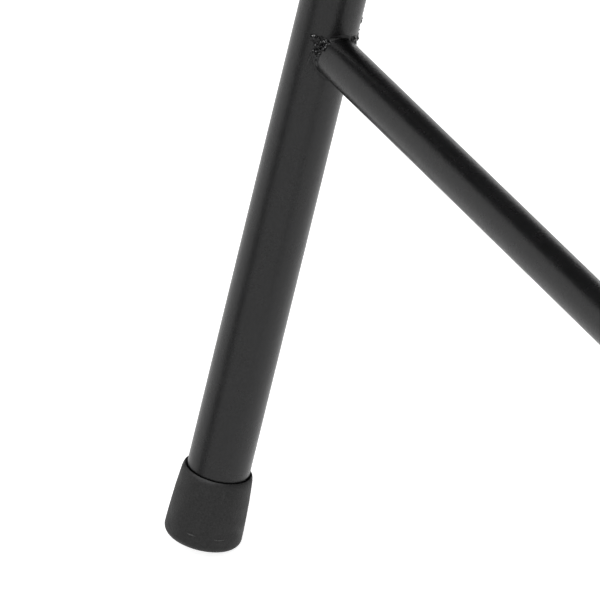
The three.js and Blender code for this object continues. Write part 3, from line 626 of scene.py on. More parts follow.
def socket(name, place, turn, x):
    low = SOCKET_TOP - SOCKET_LENGTH
    inside = RAIL_R + GAP
    edge = 0.0006
    bm = bmesh.new()
    revolve(bm, [
        (0, SOCKET_TOP - SOCKET_CAP), (inside, SOCKET_TOP - SOCKET_CAP), (inside, low + edge),
        (inside + edge, low), (SOCKET_R - edge, low), (SOCKET_R, low + edge), (SOCKET_R, SOCKET_TOP - 0.0022),
        (SOCKET_R - 0.0007, SOCKET_TOP - 0.0007), (SOCKET_R - 0.0022, SOCKET_TOP), (0, SOCKET_TOP),
    ], place, 80)
    piece("sleeve_" + name, bm, [PAINT], "stand", [name])

    def axis_y(z):
        return -FOOT_OUT + (z - FOOT_Z) * math.tan(LEAN)

    face = -RIM_OUTSIDE - GAP
    top, bottom = DECK_TOP - 0.008, RIM_BOTTOM - 0.055
    shelf = RIM_BOTTOM - GAP
    reach = SOCKET_R / math.cos(LEAN)
    outline = [
        (axis_y(top) + reach - 0.001, top), (axis_y(bottom) + reach - 0.001, bottom),
        (face + 0.022, shelf - 0.008), (face + 0.022, shelf), (face, shelf), (face, top),
    ]
    stand_up = Matrix(((0, 0, 1, -PLATE_THICK / 2), (1, 0, 0, 0), (0, 1, 0, 0), (0, 0, 0, 1)))
    web_place = station(turn) @ Matrix.Translation((x, 0, 0))
    bm = bmesh.new()
    plate(bm, outline, PLATE_THICK, web_place @ stand_up)
    seed = hash_of(name)
    rising = [(axis_y(bottom) + reach, bottom + 0.002), (axis_y(top) + reach - 0.001, top - 0.002)]
    upright = [(face, shelf + 0.002), (face, top - 0.002)]
    for side in (-1, 1):
        for (start, end), size, shift in ((rising, 0.0017, 1), (upright, 0.0015, 3)):
            offset = Vector((side * 0.0036, 0, 0))
            line = [web_place @ (p + offset) for p in between(Vector((0, *start)), Vector((0, *end)))]
            weld_bead(bm, line, size, seed + shift * side, closed=False, material=1)
    piece("web_" + name, bm, [PAINT, WELD_PAINT], "stand")


def hash_of(name):
    """A small number that a name always gives."""
    return sum(ord(c) * (i + 1) for i, c in enumerate(name)) % 97


for leg_name, (boot_name, socket_name, bolt_name, leg_turn, leg_x) in LEGS.items():
    leg_place = leg_frame(leg_turn, leg_x)
    leg(leg_name, leg_place)
    boot(boot_name, leg_place)
    socket(socket_name, leg_place, leg_turn, leg_x)
    bolt("fastener_" + bolt_name, leg_place @ Matrix.Translation((0, 0, BOLT_AT)), SOCKET_R + GAP, BOLT_R,
         HEAD_R, HEAD_HIGH, "stand", [bolt_name])


# ---- Rungs and their welds --------------------------------------------------------------------------------
LADDER = leg_frame(0)


def saddle(side, along, turn, bar_r):
    """A point of the curve where a bar as wide as bar_r meets a rail, in the ladder's frame."""
    y = bar_r * math.cos(turn)
    x = HALF_LADDER - math.sqrt(RAIL_R ** 2 - y * y)
    return Vector((side * x, y, along + bar_r * math.sin(turn)))


def rung(index):
    along = FIRST_RUNG + index * RUNG_PITCH
    bm = bmesh.new()
    ends = HALF_LADDER - RAIL_R - END_GAP
    rings = []
    for x in (-ends, -0.20, -0.1, 0, 0.1, 0.20, ends):
        points = [Vector((x, RUNG_R * math.cos(t), along + RUNG_R * math.sin(t))) for t in full_turn(96)]
        rings.append(ring(bm, [LADDER @ p for p in points]))
    loft(bm, rings, caps=False)
    for end, side in ((rings[0], -1), (rings[-1], 1)):
        middle = ring(bm, [LADDER @ Vector((side * ends, 0, along))])
        skin(bm, middle, end)
    name = f"ladder_rung_{index + 1}"
    piece("tube_" + name, bm, [PAINT], "stand", [name])


def on_rail(side, turn, z, r):
    """A point at radius r round the rail's axis; turn 0 faces the rung, and -90 degrees faces outwards."""
    return Vector((side * (HALF_LADDER - r * math.cos(turn)), r * math.sin(turn), z))


def paint_run(bm, side, turn, drift, top, length, width, height, material):
    """A thin ridge of paint that ran down the rail from the weld; turns in degrees."""
    made = bmesh.ops.create_uvsphere(bm, u_segments=16, v_segments=24, radius=1)["verts"]
    for v in made:
        a, b, c = v.co.z, v.co.x, v.co.y
        down = (1 - a) / 2
        narrow = 0.55 + 0.45 * a if a < 0 else 1.0
        t = math.radians(turn + drift * down) + b * width * narrow / RAIL_R
        v.co = LADDER @ on_rail(side, t, top - length * down, RAIL_R + c * height * (0.6 + 0.4 * a))
    for face in {face for v in made for face in v.link_faces}:
        face.material_index = material


# the weld in front of and behind a rung, by the angle round it (90 is up, 180 is the front):
# (angle, how far it reaches up the rail, how lumpy it is)
BEAD_TOES = [
    (0, 0.0016, 0.5), (22, 0.0040, 1.0), (38, 0.0050, 1.0), (52, 0.0034, 0.7), (66, 0.0020, 0.2),
    (90, 0.0021, 0.0),
    (112, 0.0016, 0.0), (124, 0.0016, 0.1), (134, 0.0038, 1.0), (148, 0.0048, 1.0), (158, 0.0030, 1.0),
    (168, 0.0016, 1.0), (180, 0.0010, 0.8), (196, 0.0009, 0.5), (216, 0.0012, 0.2), (240, 0.0020, 0.0),
    (290, 0.0020, 0.0), (320, 0.0010, 0.0), (340, 0.0010, 0.3), (360, 0.0016, 0.5),
]


def bead_at(turn):
    for (t0, reach0, rough0), (t1, reach1, rough1) in zip(BEAD_TOES, BEAD_TOES[1:]):
        if t0 <= turn <= t1:
            share = (turn - t0) / (t1 - t0)
            share = share * share * (3 - 2 * share)
            return reach0 + (reach1 - reach0) * share, rough0 + (rough1 - rough0) * share
    return BEAD_TOES[0][1:]


def rung_end(side, along, turn, r=RUNG_R, back=0.0):
    """A point of the rung's square-cut end, which touches the rail only above and below."""
    x = HALF_LADDER - RAIL_R - END_GAP - back
    return Vector((side * x, r * math.cos(turn), along + r * math.sin(turn)))


# pits and drops of the weld: (angle, share of the way from rail to rung, reach, depth or height)
BEAD_PITS = [
    (150, 0.30, 0.0011, -0.0016), (163, 0.42, 0.0010, -0.0015), (176, 0.50, 0.0009, -0.0012),
    (144, 0.62, 0.0009, -0.0014), (155, 0.66, 0.0008, -0.0012), (139, 0.30, 0.0006, -0.0008),
    (188, 0.62, 0.0008, -0.0008), (28, 0.40, 0.0010, -0.0012), (46, 0.60, 0.0008, -0.0009),
]
BEAD_DROPS = [
    (145, 0.05, 0.0010, 0.0013), (140, 0.12, 0.0008, 0.0010), (146, 0.93, 0.0009, 0.0012),
    (151, 0.90, 0.0008, 0.0011), (172, 0.16, 0.0008, 0.0011), (160, 0.12, 0.0009, 0.0006),
    (168, 0.72, 0.0008, 0.0007), (182, 0.40, 0.0008, 0.0006), (156, 0.45, 0.0006, 0.0006),
    (36, 0.20, 0.0011, 0.0012), (24, 0.55, 0.0009, 0.0010), (50, 0.30, 0.0009, 0.0009),
]
# smooth ones that catch the light: (angle, share of the way to the rung, half length, width and height, tilt)
SMOOTH_BEADS = [
    (144, -0.03, 0.0024, 0.0012, 0.0006, 25),
    (147, 0.95, 0.0023, 0.0011, 0.0006, 60),
    (171, 0.15, 0.0011, 0.0011, 0.0007, 0),
]
# material 2 gives a run the lighter grey of painted sheen
# (angle round the rail, drift, top above the rung's axis, length, half width, height, material)
PAINT_RUNS = [
    (-43, 13, 0.002, 0.013, 0.0013, 0.0006, 2), (-46, -8, 0.002, 0.016, 0.0006, 0.0005, 2),
    (-50, -9, 0.001, 0.013, 0.0005, 0.0005, 1), (-42, -6, -0.002, 0.013, 0.0007, 0.0006, 1),
    (-38, 2, -0.006, 0.010, 0.0008, 0.0005, 1),
]


def rung_weld(index, side):
    """The weld between a rung's end and a rail: lumpy in front and behind, smooth above and below."""
    along = FIRST_RUNG + index * RUNG_PITCH
    close_up = index == 0 and side < 0
    dice = random.Random(11 * index + 5 * side + 40)
    seed = dice.uniform(0, 90)
    twist = 0.0 if close_up else dice.uniform(-9, 9)
    # faces round the rung, and from the rail to the rung
    round_count, across = (480, 28) if close_up else (180, 12)

    def fillet_point(turn, share):
        t = math.radians(turn)
        reach, rough = bead_at(turn)
        reach *= 1 + 0.3 * noise.noise(Vector((math.cos(t) * 3.1, math.sin(t) * 3.1, seed)))
        low = saddle(side, along, t, RUNG_R + reach)
        high = rung_end(side, along, t, RUNG_R - 0.0002)
        corner = saddle(side, along, t, RUNG_R - 0.0002)
        out = Vector((-side * 0.55, math.cos(t) * 0.8, math.sin(t) * 0.8)).normalized()
        gap = (high - corner).length
        corner += (high - corner) * 0.35 + out * (0.0001 + 0.0011 * rough - 0.12 * gap * (1 - rough))
        return (1 - share) ** 2 * low + 2 * share * (1 - share) * corner + share * share * high, out, rough

    bm = bmesh.new()
    marks = [
        (fillet_point((turn + twist) % 360, share)[0], reach, height)
        for turn, share, reach, height in BEAD_PITS + BEAD_DROPS
    ]
    rows = []
    for i in range(round_count):
        turn = 360 * i / round_count
        column = []
        for k in range(across + 1):
            share = k / across
            point, out, rough = fillet_point(turn, share)
            edge = math.sin(math.pi * share) ** 0.5
            coarse = noise.noise(point * 420 + Vector((seed, 0, 0)))
            fine = noise.noise(point * 1300 + Vector((0, seed, 0)))
            lift = edge * rough * (0.0005 * coarse + 0.00016 * fine) + edge * (1 - rough) * 0.00005 * coarse
            for place, reach, height in marks:
                near = (point - place).length / reach
                if near < 2.4:
                    lift += height * math.exp(-near * near)
            column.append(LADDER @ (point + out * lift))
        t = math.radians(turn)
        column.append(LADDER @ rung_end(side, along, t, RUNG_R - 0.0016, -0.0006))
        column.append(LADDER @ (saddle(side, along, t, RUNG_R - 0.0022) + Vector((side * 0.0008, 0, 0))))
        rows.append(column)
    grid = [[bm.verts.new(p) for p in column] for column in rows]
    for i in range(round_count):
        a, b = grid[i], grid[(i + 1) % round_count]
        for k in range(across + 3):
            m = (k + 1) % (across + 3)
            bm.faces.new((a[k], a[m], b[m], b[k]))
    for turn, drift, top, length, width, height, material in PAINT_RUNS:
        paint_run(bm, side, turn, drift, along + top, length, width, height, material)
    # the smooth beads lie flat to the way between the small lamp and the camera
    face = Vector((-side * 0.495, -0.636, 0.592)).normalized()
    for turn, share, long, wide, high, tilt in SMOOTH_BEADS:
        place, _, _ = fillet_point(turn + twist, share)
        made = bmesh.ops.create_icosphere(bm, subdivisions=3, radius=1)["verts"]
        lean = math.radians(tilt)
        level = Vector((0, 0, 1)).cross(face).normalized()
        along_bead = level * math.cos(lean) + face.cross(level) * math.sin(lean)
        across_bead = face.cross(along_bead)
        for v in made:
            x, y, z = v.co
            v.co = LADDER @ (place + along_bead * x * long + across_bead * y * wide + face * (z + 1) * high)
    # spatter beside the beads
    for n in range(14):
        behind = n > 3
        turn = math.radians(dice.uniform(54, 66) if behind else dice.uniform(-60, -42))
        low, high = (0.009, 0.021) if behind else (0.004, 0.014)
        place = on_rail(side, turn, along + dice.uniform(low, high), RAIL_R - 0.0001)
        size = dice.uniform(0.0004, 0.0011) if behind else dice.uniform(0.00025, 0.0005)
        made = bmesh.ops.create_icosphere(bm, subdivisions=2, radius=size)["verts"]
        for v in made:
            v.co = LADDER @ (place + v.co)
    hand = "left" if side < 0 else "right"
    # the third material paints sheen on the runs that use it
    piece(f"weld_rung_{index + 1}_{hand}", bm, [WELD_PAINT, PAINT, RUN_SHEEN_PAINT], "stand", sharp=70)


for rung_index in range(RUNG_COUNT):
    rung(rung_index)
    for end_side in (-1, 1):
        rung_weld(rung_index, end_side)


# ---- Braces -----------------------------------------------------------------------------------------------
def superellipse(a, b, power, turn):
    c, s = math.cos(turn), math.sin(turn)
    return (math.copysign(abs(c) ** power, c) * a, math.copysign(abs(s) ** power, s) * b)


def brace(name, start, end):
    """A tube with its ends pressed flat, between the middles of its two bolts."""
    length = (end - start).length
    along = (end - start).normalized()
    up = Vector((0, 0, 1))
    across = up.cross(along)
    middle = (start + end) / 2
    if across.dot(middle) > 0:
        across = -across
    offset = RAIL_R + TAB_HALF_THICK + 0.0029
    place = ROW @ Matrix.Translation(middle + across * offset) @ Matrix(
        (across.cross(up), across, up)).transposed().to_4x4()
    half, flat, taper = length / 2, 0.030, 0.060
    sections = []
    for i in range(9):
        t = math.pi / 2 * i / 8
        tall = TAB_HALF_HEIGHT * max(math.sin(t), 0.05)
        sections.append((half + TAB_HALF_HEIGHT * math.cos(t), TAB_HALF_THICK, tall))
    sections.append((half - flat, TAB_HALF_THICK, TAB_HALF_HEIGHT))
    for i in range(1, 15):
        t = i / 14
        ease = t * t * (3 - 2 * t)
        sections.append((half - flat - taper * t, TAB_HALF_THICK + (BRACE_R - TAB_HALF_THICK) * ease,
                         TAB_HALF_HEIGHT + (BRACE_R - TAB_HALF_HEIGHT) * ease))
    whole = [(-x, a, b) for x, a, b in sections] + sections[::-1]
    bm = bmesh.new()
    turns = [2 * math.pi * (i + 0.5) / 48 for i in range(48)]
    rings = []
    for x, a, b in whole:
        power = 0.3 + 0.7 * (a - TAB_HALF_THICK) / (BRACE_R - TAB_HALF_THICK)
        points = [superellipse(a, b, power, t) for t in turns]
        rings.append(ring(bm, [place @ Vector((x, y, z)) for y, z in points]))
    loft(bm, rings)
    piece("tube_" + name, bm, [PAINT], "stand", [name])
    near, far = offset + TAB_HALF_THICK + GAP, RAIL_R + 0.0022
    basis = Matrix((across, up.cross(across), up)).transposed().to_4x4()
    for i, at in enumerate((start, end)):
        bolt(f"fastener_{name}_{i + 1}", ROW @ Matrix.Translation(at + across * (near - far) / 2) @ basis,
             (near + far) / 2, BOLT_R, HEAD_R, HEAD_HIGH, "stand", [f"{name}_bolt_{i + 1}"])


def leg_point(turn, x, height):
    out = FOOT_OUT - (height - FOOT_Z) * math.tan(LEAN)
    return Matrix.Rotation(math.radians(turn), 4, "Z") @ Vector((x, -out, height))


for brace_side, sign in (("left", -1), ("right", 1)):
    brace(f"brace_{brace_side}", leg_point(0, sign * HALF_LADDER, SIDE_BRACE_HEIGHT),
          leg_point(sign * 120, 0, SIDE_BRACE_HEIGHT))
brace("brace_rear", leg_point(-120, 0, REAR_BRACE_HEIGHT), leg_point(120, 0, REAR_BRACE_HEIGHT))


# ---- CAD pieces that keep their shape ----------------------------------------------------------------------
def keep(node, edge):
    """A painted CAD piece with its edges broken."""
    obj = frame["nodes"][node]
    obj.data.materials.clear()
    obj.data.materials.append(PAINT)
    obj.data.polygons.foreach_set("use_smooth", [True] * len(obj.data.polygons))
    weld = obj.modifiers.new("weld", "WELD")
    weld.merge_threshold = 0.00001
    flat = obj.modifiers.new("flat", "DECIMATE")
    flat.decimate_type = "DISSOLVE"
    flat.angle_limit = math.radians(0.5)
    bevel = obj.modifiers.new("bevel", "BEVEL")
    bevel.width = edge
    bevel.segments = 2
    bevel.limit_method = "ANGLE"
    bevel.angle_limit = math.radians(40)
    bevel.harden_normals = True


for cad_name in ("platform_frame", "gate_fork", "gate_cradle"):
    keep(cad_name, 0.0008)
keep("deck_grate", 0.0005)
for cad_name in ("seat_pan", "backrest_sheet"):
    keep(cad_name, 0.0007)


# ---- Shooting rail ----------------------------------------------------------------------------------------
def bent_line(corners, bend, steps=16):
    line = [corners[0]]
    for before, corner, after in zip(corners, corners[1:], corners[2:]):
        inward, outward = (corner - before).normalized(), (after - corner).normalized()
        turn = inward.angle(outward)
        reach = bend * math.tan(turn / 2)
        centre = corner + (outward - inward).normalized() * bend / math.cos(turn / 2)
        arm = corner - inward * reach - centre
        axis = inward.cross(outward).normalized()
        for i in range(steps + 1):
            line.append(centre + Matrix.Rotation(turn * i / steps, 3, axis) @ arm)
    return line + [corners[-1]]


def guard_rail(name, side, rear_end):
    corners = [
        Vector((x, y, GUARD_Z)) for x, y in (
            (side * GATE_OPENING, -RIM_APOTHEM), (side * HALF_SIDE, -RIM_APOTHEM), (side * 2 * HALF_SIDE, 0),
            (side * HALF_SIDE, RIM_APOTHEM), (rear_end, RIM_APOTHEM),
        )
    ]
    bm = bmesh.new()
    sweep(bm, [ROW @ p for p in bent_line(corners, GUARD_BEND_R)], GUARD_R, 64)
    piece("tube_" + name, bm, [PAINT], "stand", [name])


guard_rail("guard_rail_left", -1, GUARD_SPLIT_X)
guard_rail("guard_rail_right", 1, GUARD_SPLIT_X + GAP)

ALONG_X = Matrix.Rotation(math.pi / 2, 4, "Y")


def coupler():
    bm = bmesh.new()
    place = ROW @ Matrix.Translation((GUARD_SPLIT_X, RIM_APOTHEM, GUARD_Z)) @ ALONG_X
    revolve(bm, tube_profile(GUARD_R + GAP + 0.002, GUARD_R + GAP / 2, -0.032, 0.032, 0.0007), place, 64)
    for x in (-0.018, 0.018):
        head = place @ Matrix.Translation((0, 0, x)) @ Matrix.Rotation(math.pi / 2, 4, "Y")
        top = GUARD_R + 0.0022
        revolve(bm, [(0, top - 0.002), (0.0035, top - 0.002), (0.0035, top + 0.0012), (0.003, top + 0.0018),
                     (0.0016, top + 0.0018), (0.0014, top + 0.0006), (0, top + 0.0006)], head, 32, material=1)
    piece("tube_guard_coupler", bm, [PAINT, ZINC], "stand", ["guard_coupler"])


coupler()

CORNERS = ["front_left", "front_right", "right", "rear_right", "rear_left", "left"]


def guard_post(name, turn):
    """A post coped to the rail at its top, and welded all round at both ends."""
    place = ROW @ Matrix.Rotation(math.radians(turn), 4, "Z") @ Matrix.Translation((POST_OUT, 0, 0))
    turns = full_turn(64)

    def cope(t):
        x = GUARD_R * math.cos(t)
        return GUARD_Z - math.sqrt(max(GUARD_R ** 2 - x * x, 0)) * 0.97

    bm = bmesh.new()
    rings = []
    for z in (DECK_TOP + GAP, DECK_TOP + 0.2, DECK_TOP + 0.5, GUARD_Z - 0.03):
        rings.append(ring(bm, [place @ polar(GUARD_R, t, z) for t in turns]))
    rings.append(ring(bm, [place @ polar(GUARD_R * 0.995, t, cope(t)) for t in turns]))
    loft(bm, rings, caps=False)
    bm.faces.new(rings[0])
    skin(bm, ring(bm, [place @ Vector((0, 0, GUARD_Z - 0.006))]), rings[-1])
    foot = place @ Matrix.Translation((0, 0, DECK_TOP + 0.0012))
    weld_bead(bm, circle(foot, GUARD_R + 0.0008), 0.0019, turn + 7, material=1)
    top = [place @ polar(GUARD_R + 0.0003, t, cope(t) - 0.0008) for t in full_turn(110)]
    weld_bead(bm, top, 0.0016, turn + 31, material=1)
    piece("tube_" + name, bm, [PAINT, WELD_PAINT], "stand", [name])


for corner_index, corner_name in enumerate(CORNERS):
    guard_post("post_" + corner_name, -120 + 60 * corner_index)


def sleeve(name, place, length, body, seed):
    """A foam sleeve, slit along its underside, held by two cable ties that pinch it a little."""
    inside = GUARD_R + GAP
    rings_count, segments = 150, 96
    rounding = 0.0045
    turns = full_turn(segments)
    bm = bmesh.new()
    ties = (-length / 2 + 0.028, length / 2 - 0.028)
    outer, inner = [], []
    for i in range(rings_count + 1):
        x = -length / 2 + length * i / rings_count
        end = min(i, rings_count - i) * length / rings_count
        drop = rounding - math.sqrt(rounding ** 2 - max(rounding - end, 0) ** 2)
        pinch = sum(0.0022 * math.exp(-((x - t) / 0.0065) ** 2) for t in ties)
        loop = []
        for t in turns:
            slit = 0.0016 * math.exp(-((t - 1.5 * math.pi) / 0.055) ** 2)
            uneven = 0.0004 * noise.noise(Vector((x * 18, math.cos(t) * 1.4 + seed, math.sin(t) * 1.4)))
            r = PAD_R - 0.0005 - drop - pinch - slit + uneven
            loop.append(place @ Vector((x, r * math.cos(t), r * math.sin(t))))
        outer.append(ring(bm, loop))
    for x in (-length / 2, length / 2):
        points = [Vector((x, inside * math.cos(t), inside * math.sin(t))) for t in turns]
        inner.append(ring(bm, [place @ p for p in points]))
    loft(bm, outer, caps=False)
    skin(bm, outer[-1], inner[1])
    skin(bm, inner[1], inner[0])
    skin(bm, inner[0], outer[0])
    foam = piece("foam_" + name, bm, [FOAM], body, [name], sharp=60)
    bm = bmesh.new()
    for x in ties:
        r = PAD_R - 0.0024
        band = place @ Matrix.Translation((x, 0, 0)) @ ALONG_X
        revolve(bm, tube_profile(r + 0.0011, r - 0.0006, -0.0022, 0.0022, 0.0003), band, 80)
        box = band @ Matrix.Rotation(math.radians(25), 4, "Z") @ Matrix.Translation((r - 0.0004, 0, 0))
        plate(bm, [(0, -0.0035), (0.0042, -0.0035), (0.0042, 0.0035), (0, 0.0035)], 0.0062,
              box @ Matrix.Translation((0, 0, -0.0031)), 0.0005)
    piece("ties_" + name, bm, [NYLON], body)


PAD_SIDES = ["right_front", "right_rear", "rear", "left_rear", "left_front"]
for pad_index, pad_side in enumerate(PAD_SIDES):
    # the rear pad is moved clear of the coupler
    pad_shift = 0.040 if pad_side == "rear" else 0
    pad_place = station(60 + 60 * pad_index) @ Matrix.Translation((pad_shift, -RIM_APOTHEM, GUARD_Z))
    sleeve("rail_pad_" + pad_side, pad_place, PAD_LENGTH, "stand", pad_index * 3.7)


# ---- Gate -------------------------------------------------------------------------------------------------
GATE = ROW @ Matrix.Translation((0, -RIM_APOTHEM, GUARD_Z))


def gate_bar():
    left, right = -0.1805, 0.165
    bm = bmesh.new()
    revolve(bm, tube_profile(GUARD_R, GUARD_R - TUBE_WALL, left, right, 0.0005), GATE @ ALONG_X, 64)
    for end, way in ((left, -1), (right, 1)):
        cap = GATE @ Matrix.Translation((end, 0, 0)) @ Matrix.Rotation(way * math.pi / 2, 4, "Y")
        inner = GUARD_R - 0.0017
        revolve(bm, [(0, -0.008), (inner, -0.008), (inner, -0.0004), (inner - 0.0012, 0.0006), (0, 0.0009)],
                cap, 48, material=1)
    piece("tube_gate_bar", bm, [PAINT, NYLON], "gate", ["gate_bar"])


gate_bar()
sleeve("gate_pad", GATE @ Matrix.Translation((-0.007, 0, 0)), 0.262, "gate", 21.3)
PIN_PLACE = GATE @ Matrix.Translation((GATE_PIVOT_X, 0, 0)) @ Matrix.Rotation(math.pi / 2, 4, "Z")
bolt("fastener_gate_pin", PIN_PLACE, GATE_GRIP, BOLT_R, 0.0065, 0.004, "stand", ["gate_pin"])


# ---- Deck details -----------------------------------------------------------------------------------------
def deck_welds():
    """A puddle weld where each slat crosses each strap."""
    bm = bmesh.new()
    dice = random.Random(3)
    for i in range(SLAT_COUNT):
        y = (i - (SLAT_COUNT - 1) / 2) * SLAT_PITCH
        for x in (-JOIST_X, JOIST_X):
            r = dice.uniform(0.0042, 0.0052)
            astray = (x + dice.uniform(-0.002, 0.002), y + dice.uniform(-0.002, 0.002), DECK_TOP)
            place = ROW @ Matrix.Translation(astray)
            revolve(bm, [(0, -0.0006), (r, -0.0006), (r, 0.0001), (r * 0.8, 0.0005), (r * 0.55, 0.00055),
                         (r * 0.3, 0.0003), (0, 0.0004)], place, 24)
    piece("weld_deck", bm, [WELD_PAINT], "stand", sharp=60)


deck_welds()


# ---- Seat post and spindle --------------------------------------------------------------------------------
def rounded_outline(x0, y0, x1, y1, r, steps=8):
    return (arc(x1 - r, y0 + r, r, -90, 0, steps) + arc(x1 - r, y1 - r, r, 0, 90, steps)
            + arc(x0 + r, y1 - r, r, 90, 180, steps) + arc(x0 + r, y0 + r, r, 180, 270, steps))


def four_heads(bm, place, x, y, washer_r, top):
    """Hexagonal heads on washers near the corners of a plate, standing up along +Z of place."""
    for side in (-1, 1):
        for front in (-1, 1):
            head = place @ Matrix.Translation((side * x, front * y, 0))
            revolve(bm, tube_profile(washer_r, 0.003, 0, 0.0014, 0.0003), head, 40, material=2)
            hexagonal(bm, head, washer_r - 0.002, 0.0014, top, material=2)


def seat_post():
    bm = bmesh.new()
    plate(bm, rounded_outline(-0.110, -0.080, 0.110, 0.080, 0.012), PLATE_THICK,
          ROW @ Matrix.Translation((0, 0, DECK_TOP + GAP)))
    revolve(bm, tube_profile(POST_R, POST_R - 0.003, DECK_TOP + 0.004, POST_TOP, 0.0006), ROW, 96)
    foot = ROW @ Matrix.Translation((0, 0, DECK_TOP + 0.0068))
    weld_bead(bm, circle(foot, POST_R + 0.0012), 0.0026, 12, material=1)
    plate_top = ROW @ Matrix.Translation((0, 0, DECK_TOP + PLATE_THICK + GAP))
    four_heads(bm, plate_top, JOIST_X, 0.058, 0.0095, 0.0066)
    piece("tube_seat_post", bm, [PAINT, WELD_PAINT, ZINC], "stand", ["seat_post"])


def swivel_bush():
    bush_top = POST_TOP + GAP + 0.004
    outer = POST_R - 0.003 - GAP
    bm = bmesh.new()
    revolve(bm, [
        (SPINDLE_R + GAP, POST_TOP - 0.08), (outer, POST_TOP - 0.08), (outer, POST_TOP + GAP),
        (POST_R + 0.0032, POST_TOP + GAP), (POST_R + 0.004, POST_TOP + GAP + 0.0008),
        (POST_R + 0.004, bush_top - 0.001), (POST_R + 0.003, bush_top), (SPINDLE_R + GAP, bush_top),
    ], ROW, 96)
    piece("bush_swivel_bush", bm, [NYLON], "stand", ["swivel_bush"])


def seat_spindle():
    collar = POST_TOP + 2 * GAP + 0.004
    plate_top = PAN_UNDERSIDE - GAP
    bm = bmesh.new()
    revolve(bm, [
        (0, POST_TOP - 0.1), (SPINDLE_R - 0.001, POST_TOP - 0.1), (SPINDLE_R, POST_TOP - 0.099),
        (SPINDLE_R, collar), (POST_R - 0.0008, collar), (POST_R, collar + 0.0008), (POST_R, collar + 0.0065),
        (POST_R - 0.0016, collar + 0.008), (SPINDLE_R + 0.002, collar + 0.0105), (SPINDLE_R, collar + 0.012),
        (SPINDLE_R, plate_top - 0.003), (0, plate_top - 0.003),
    ], ROW, 96)
    underside = ROW @ Matrix.Translation((0, 0, plate_top - PLATE_THICK))
    plate(bm, rounded_outline(-0.080, -0.080, 0.080, 0.080, 0.010), PLATE_THICK, underside)
    neck = ROW @ Matrix.Translation((0, 0, plate_top - 0.0068))
    weld_bead(bm, circle(neck, SPINDLE_R + 0.0010), 0.0024, 44, material=1)
    four_heads(bm, underside @ Matrix.Rotation(math.pi, 4, "X"), 0.060, 0.060, 0.0085, 0.0060)
    piece("tube_seat_spindle", bm, [PAINT, WELD_PAINT, ZINC], "seat", ["seat_spindle"])


seat_post()
swivel_bush()
seat_spindle()


def pivot_bolt(name, side):
    """A shouldered bolt through a pair of ears, with a hexagonal head outside and a turned head inside."""
    inner, outer = 0.214 - SHEET - GAP, 0.214 + 2 * GAP + SHEET + GAP
    place = ROW @ Matrix.Translation((0, PIVOT_Y, PIVOT_Z)) @ Matrix.Rotation(side * math.pi / 2, 4, "Y")
    bm = bmesh.new()
    revolve(bm, [
        (0, inner - 0.0035), (0.0065, inner - 0.0035), (0.0080, inner - 0.0028), (0.0088, inner - 0.0015),
        (0.009, inner), (0.005, inner), (0.005, outer), (0.0085, outer), (0.0085, outer + 0.0012),
        (0.0045, outer + 0.0012), (0.0045, outer + 0.0066), (0.0040, outer + 0.007), (0, outer + 0.007),
    ], place, 48)
    hexagonal(bm, place, 0.0078, outer + 0.0012, outer + 0.0052)
    piece("fastener_" + name, bm, [ZINC], "seat", [name], sharp=32)


pivot_bolt("backrest_bolt_left", -1)
pivot_bolt("backrest_bolt_right", 1)


# ---- Cushions ---------------------------------------------------------------------------------------------
def pillow_start(width, depth, thickness, corner, edge, voxel):
    """A rounded block on z = 0, remeshed evenly."""
    bm = bmesh.new()
    bmesh.ops.create_cube(bm, size=1)
    bmesh.ops.scale(bm, vec=(width, depth, thickness), verts=bm.verts)
    bmesh.ops.translate(bm, vec=(0, 0, thickness / 2), verts=bm.verts)
    upright = [e for e in bm.edges if abs(e.verts[0].co.z - e.verts[1].co.z) > thickness / 2]
    bmesh.ops.bevel(bm, geom=upright, offset=corner, segments=8, profile=0.5, affect="EDGES")
    level = [e for e in bm.edges if abs(e.verts[0].co.z - e.verts[1].co.z) < 1e-6 and len(e.link_faces) == 2
             and abs(e.link_faces[0].normal.z - e.link_faces[1].normal.z) > 0.5]
    bmesh.ops.bevel(bm, geom=level, offset=edge, segments=3, profile=0.5, affect="EDGES")
    mesh = bpy.data.meshes.new("pillow")
    bm.to_mesh(mesh)
    bm.free()
    obj = bpy.data.objects.new("pillow", mesh)
    bpy.context.scene.collection.objects.link(obj)
    remesh = obj.modifiers.new("remesh", "REMESH")
    remesh.mode = "VOXEL"
    remesh.voxel_size = voxel
    even = evaluated_mesh(obj)
    obj.modifiers.clear()
    obj.data = even
    return obj


def inflate(obj, cap):
    """Swells the pillow as pressed cloth, each point moving cap at most."""
    rest = [v.co.copy() for v in obj.data.vertices]
    cloth = obj.modifiers.new("cloth", "CLOTH")
    cloth.settings.quality = 4
    cloth.settings.mass = 0.3
    cloth.settings.tension_stiffness = 18
    cloth.settings.compression_stiffness = 12
    cloth.settings.bending_stiffness = 0.8
    cloth.settings.use_pressure = True
    cloth.settings.uniform_pressure_force = 4
    cloth.settings.effector_weights.gravity = 0
    cloth.collision_settings.use_collision = False
    frames = 20
    cloth.point_cache.frame_start, cloth.point_cache.frame_end = 1, frames
    scene = bpy.context.scene
    for step in range(1, frames + 1):
        scene.frame_set(step)
    swollen = evaluated_mesh(obj)
    obj.modifiers.clear()
    for v, start, end in zip(obj.data.vertices, rest, swollen.vertices):
        move = end.co - start
        if move.length > cap:
            move *= cap / move.length
        v.co = start + move
    scene.frame_set(1)


def held(value, limit):
    return max(-limit, min(limit, value))


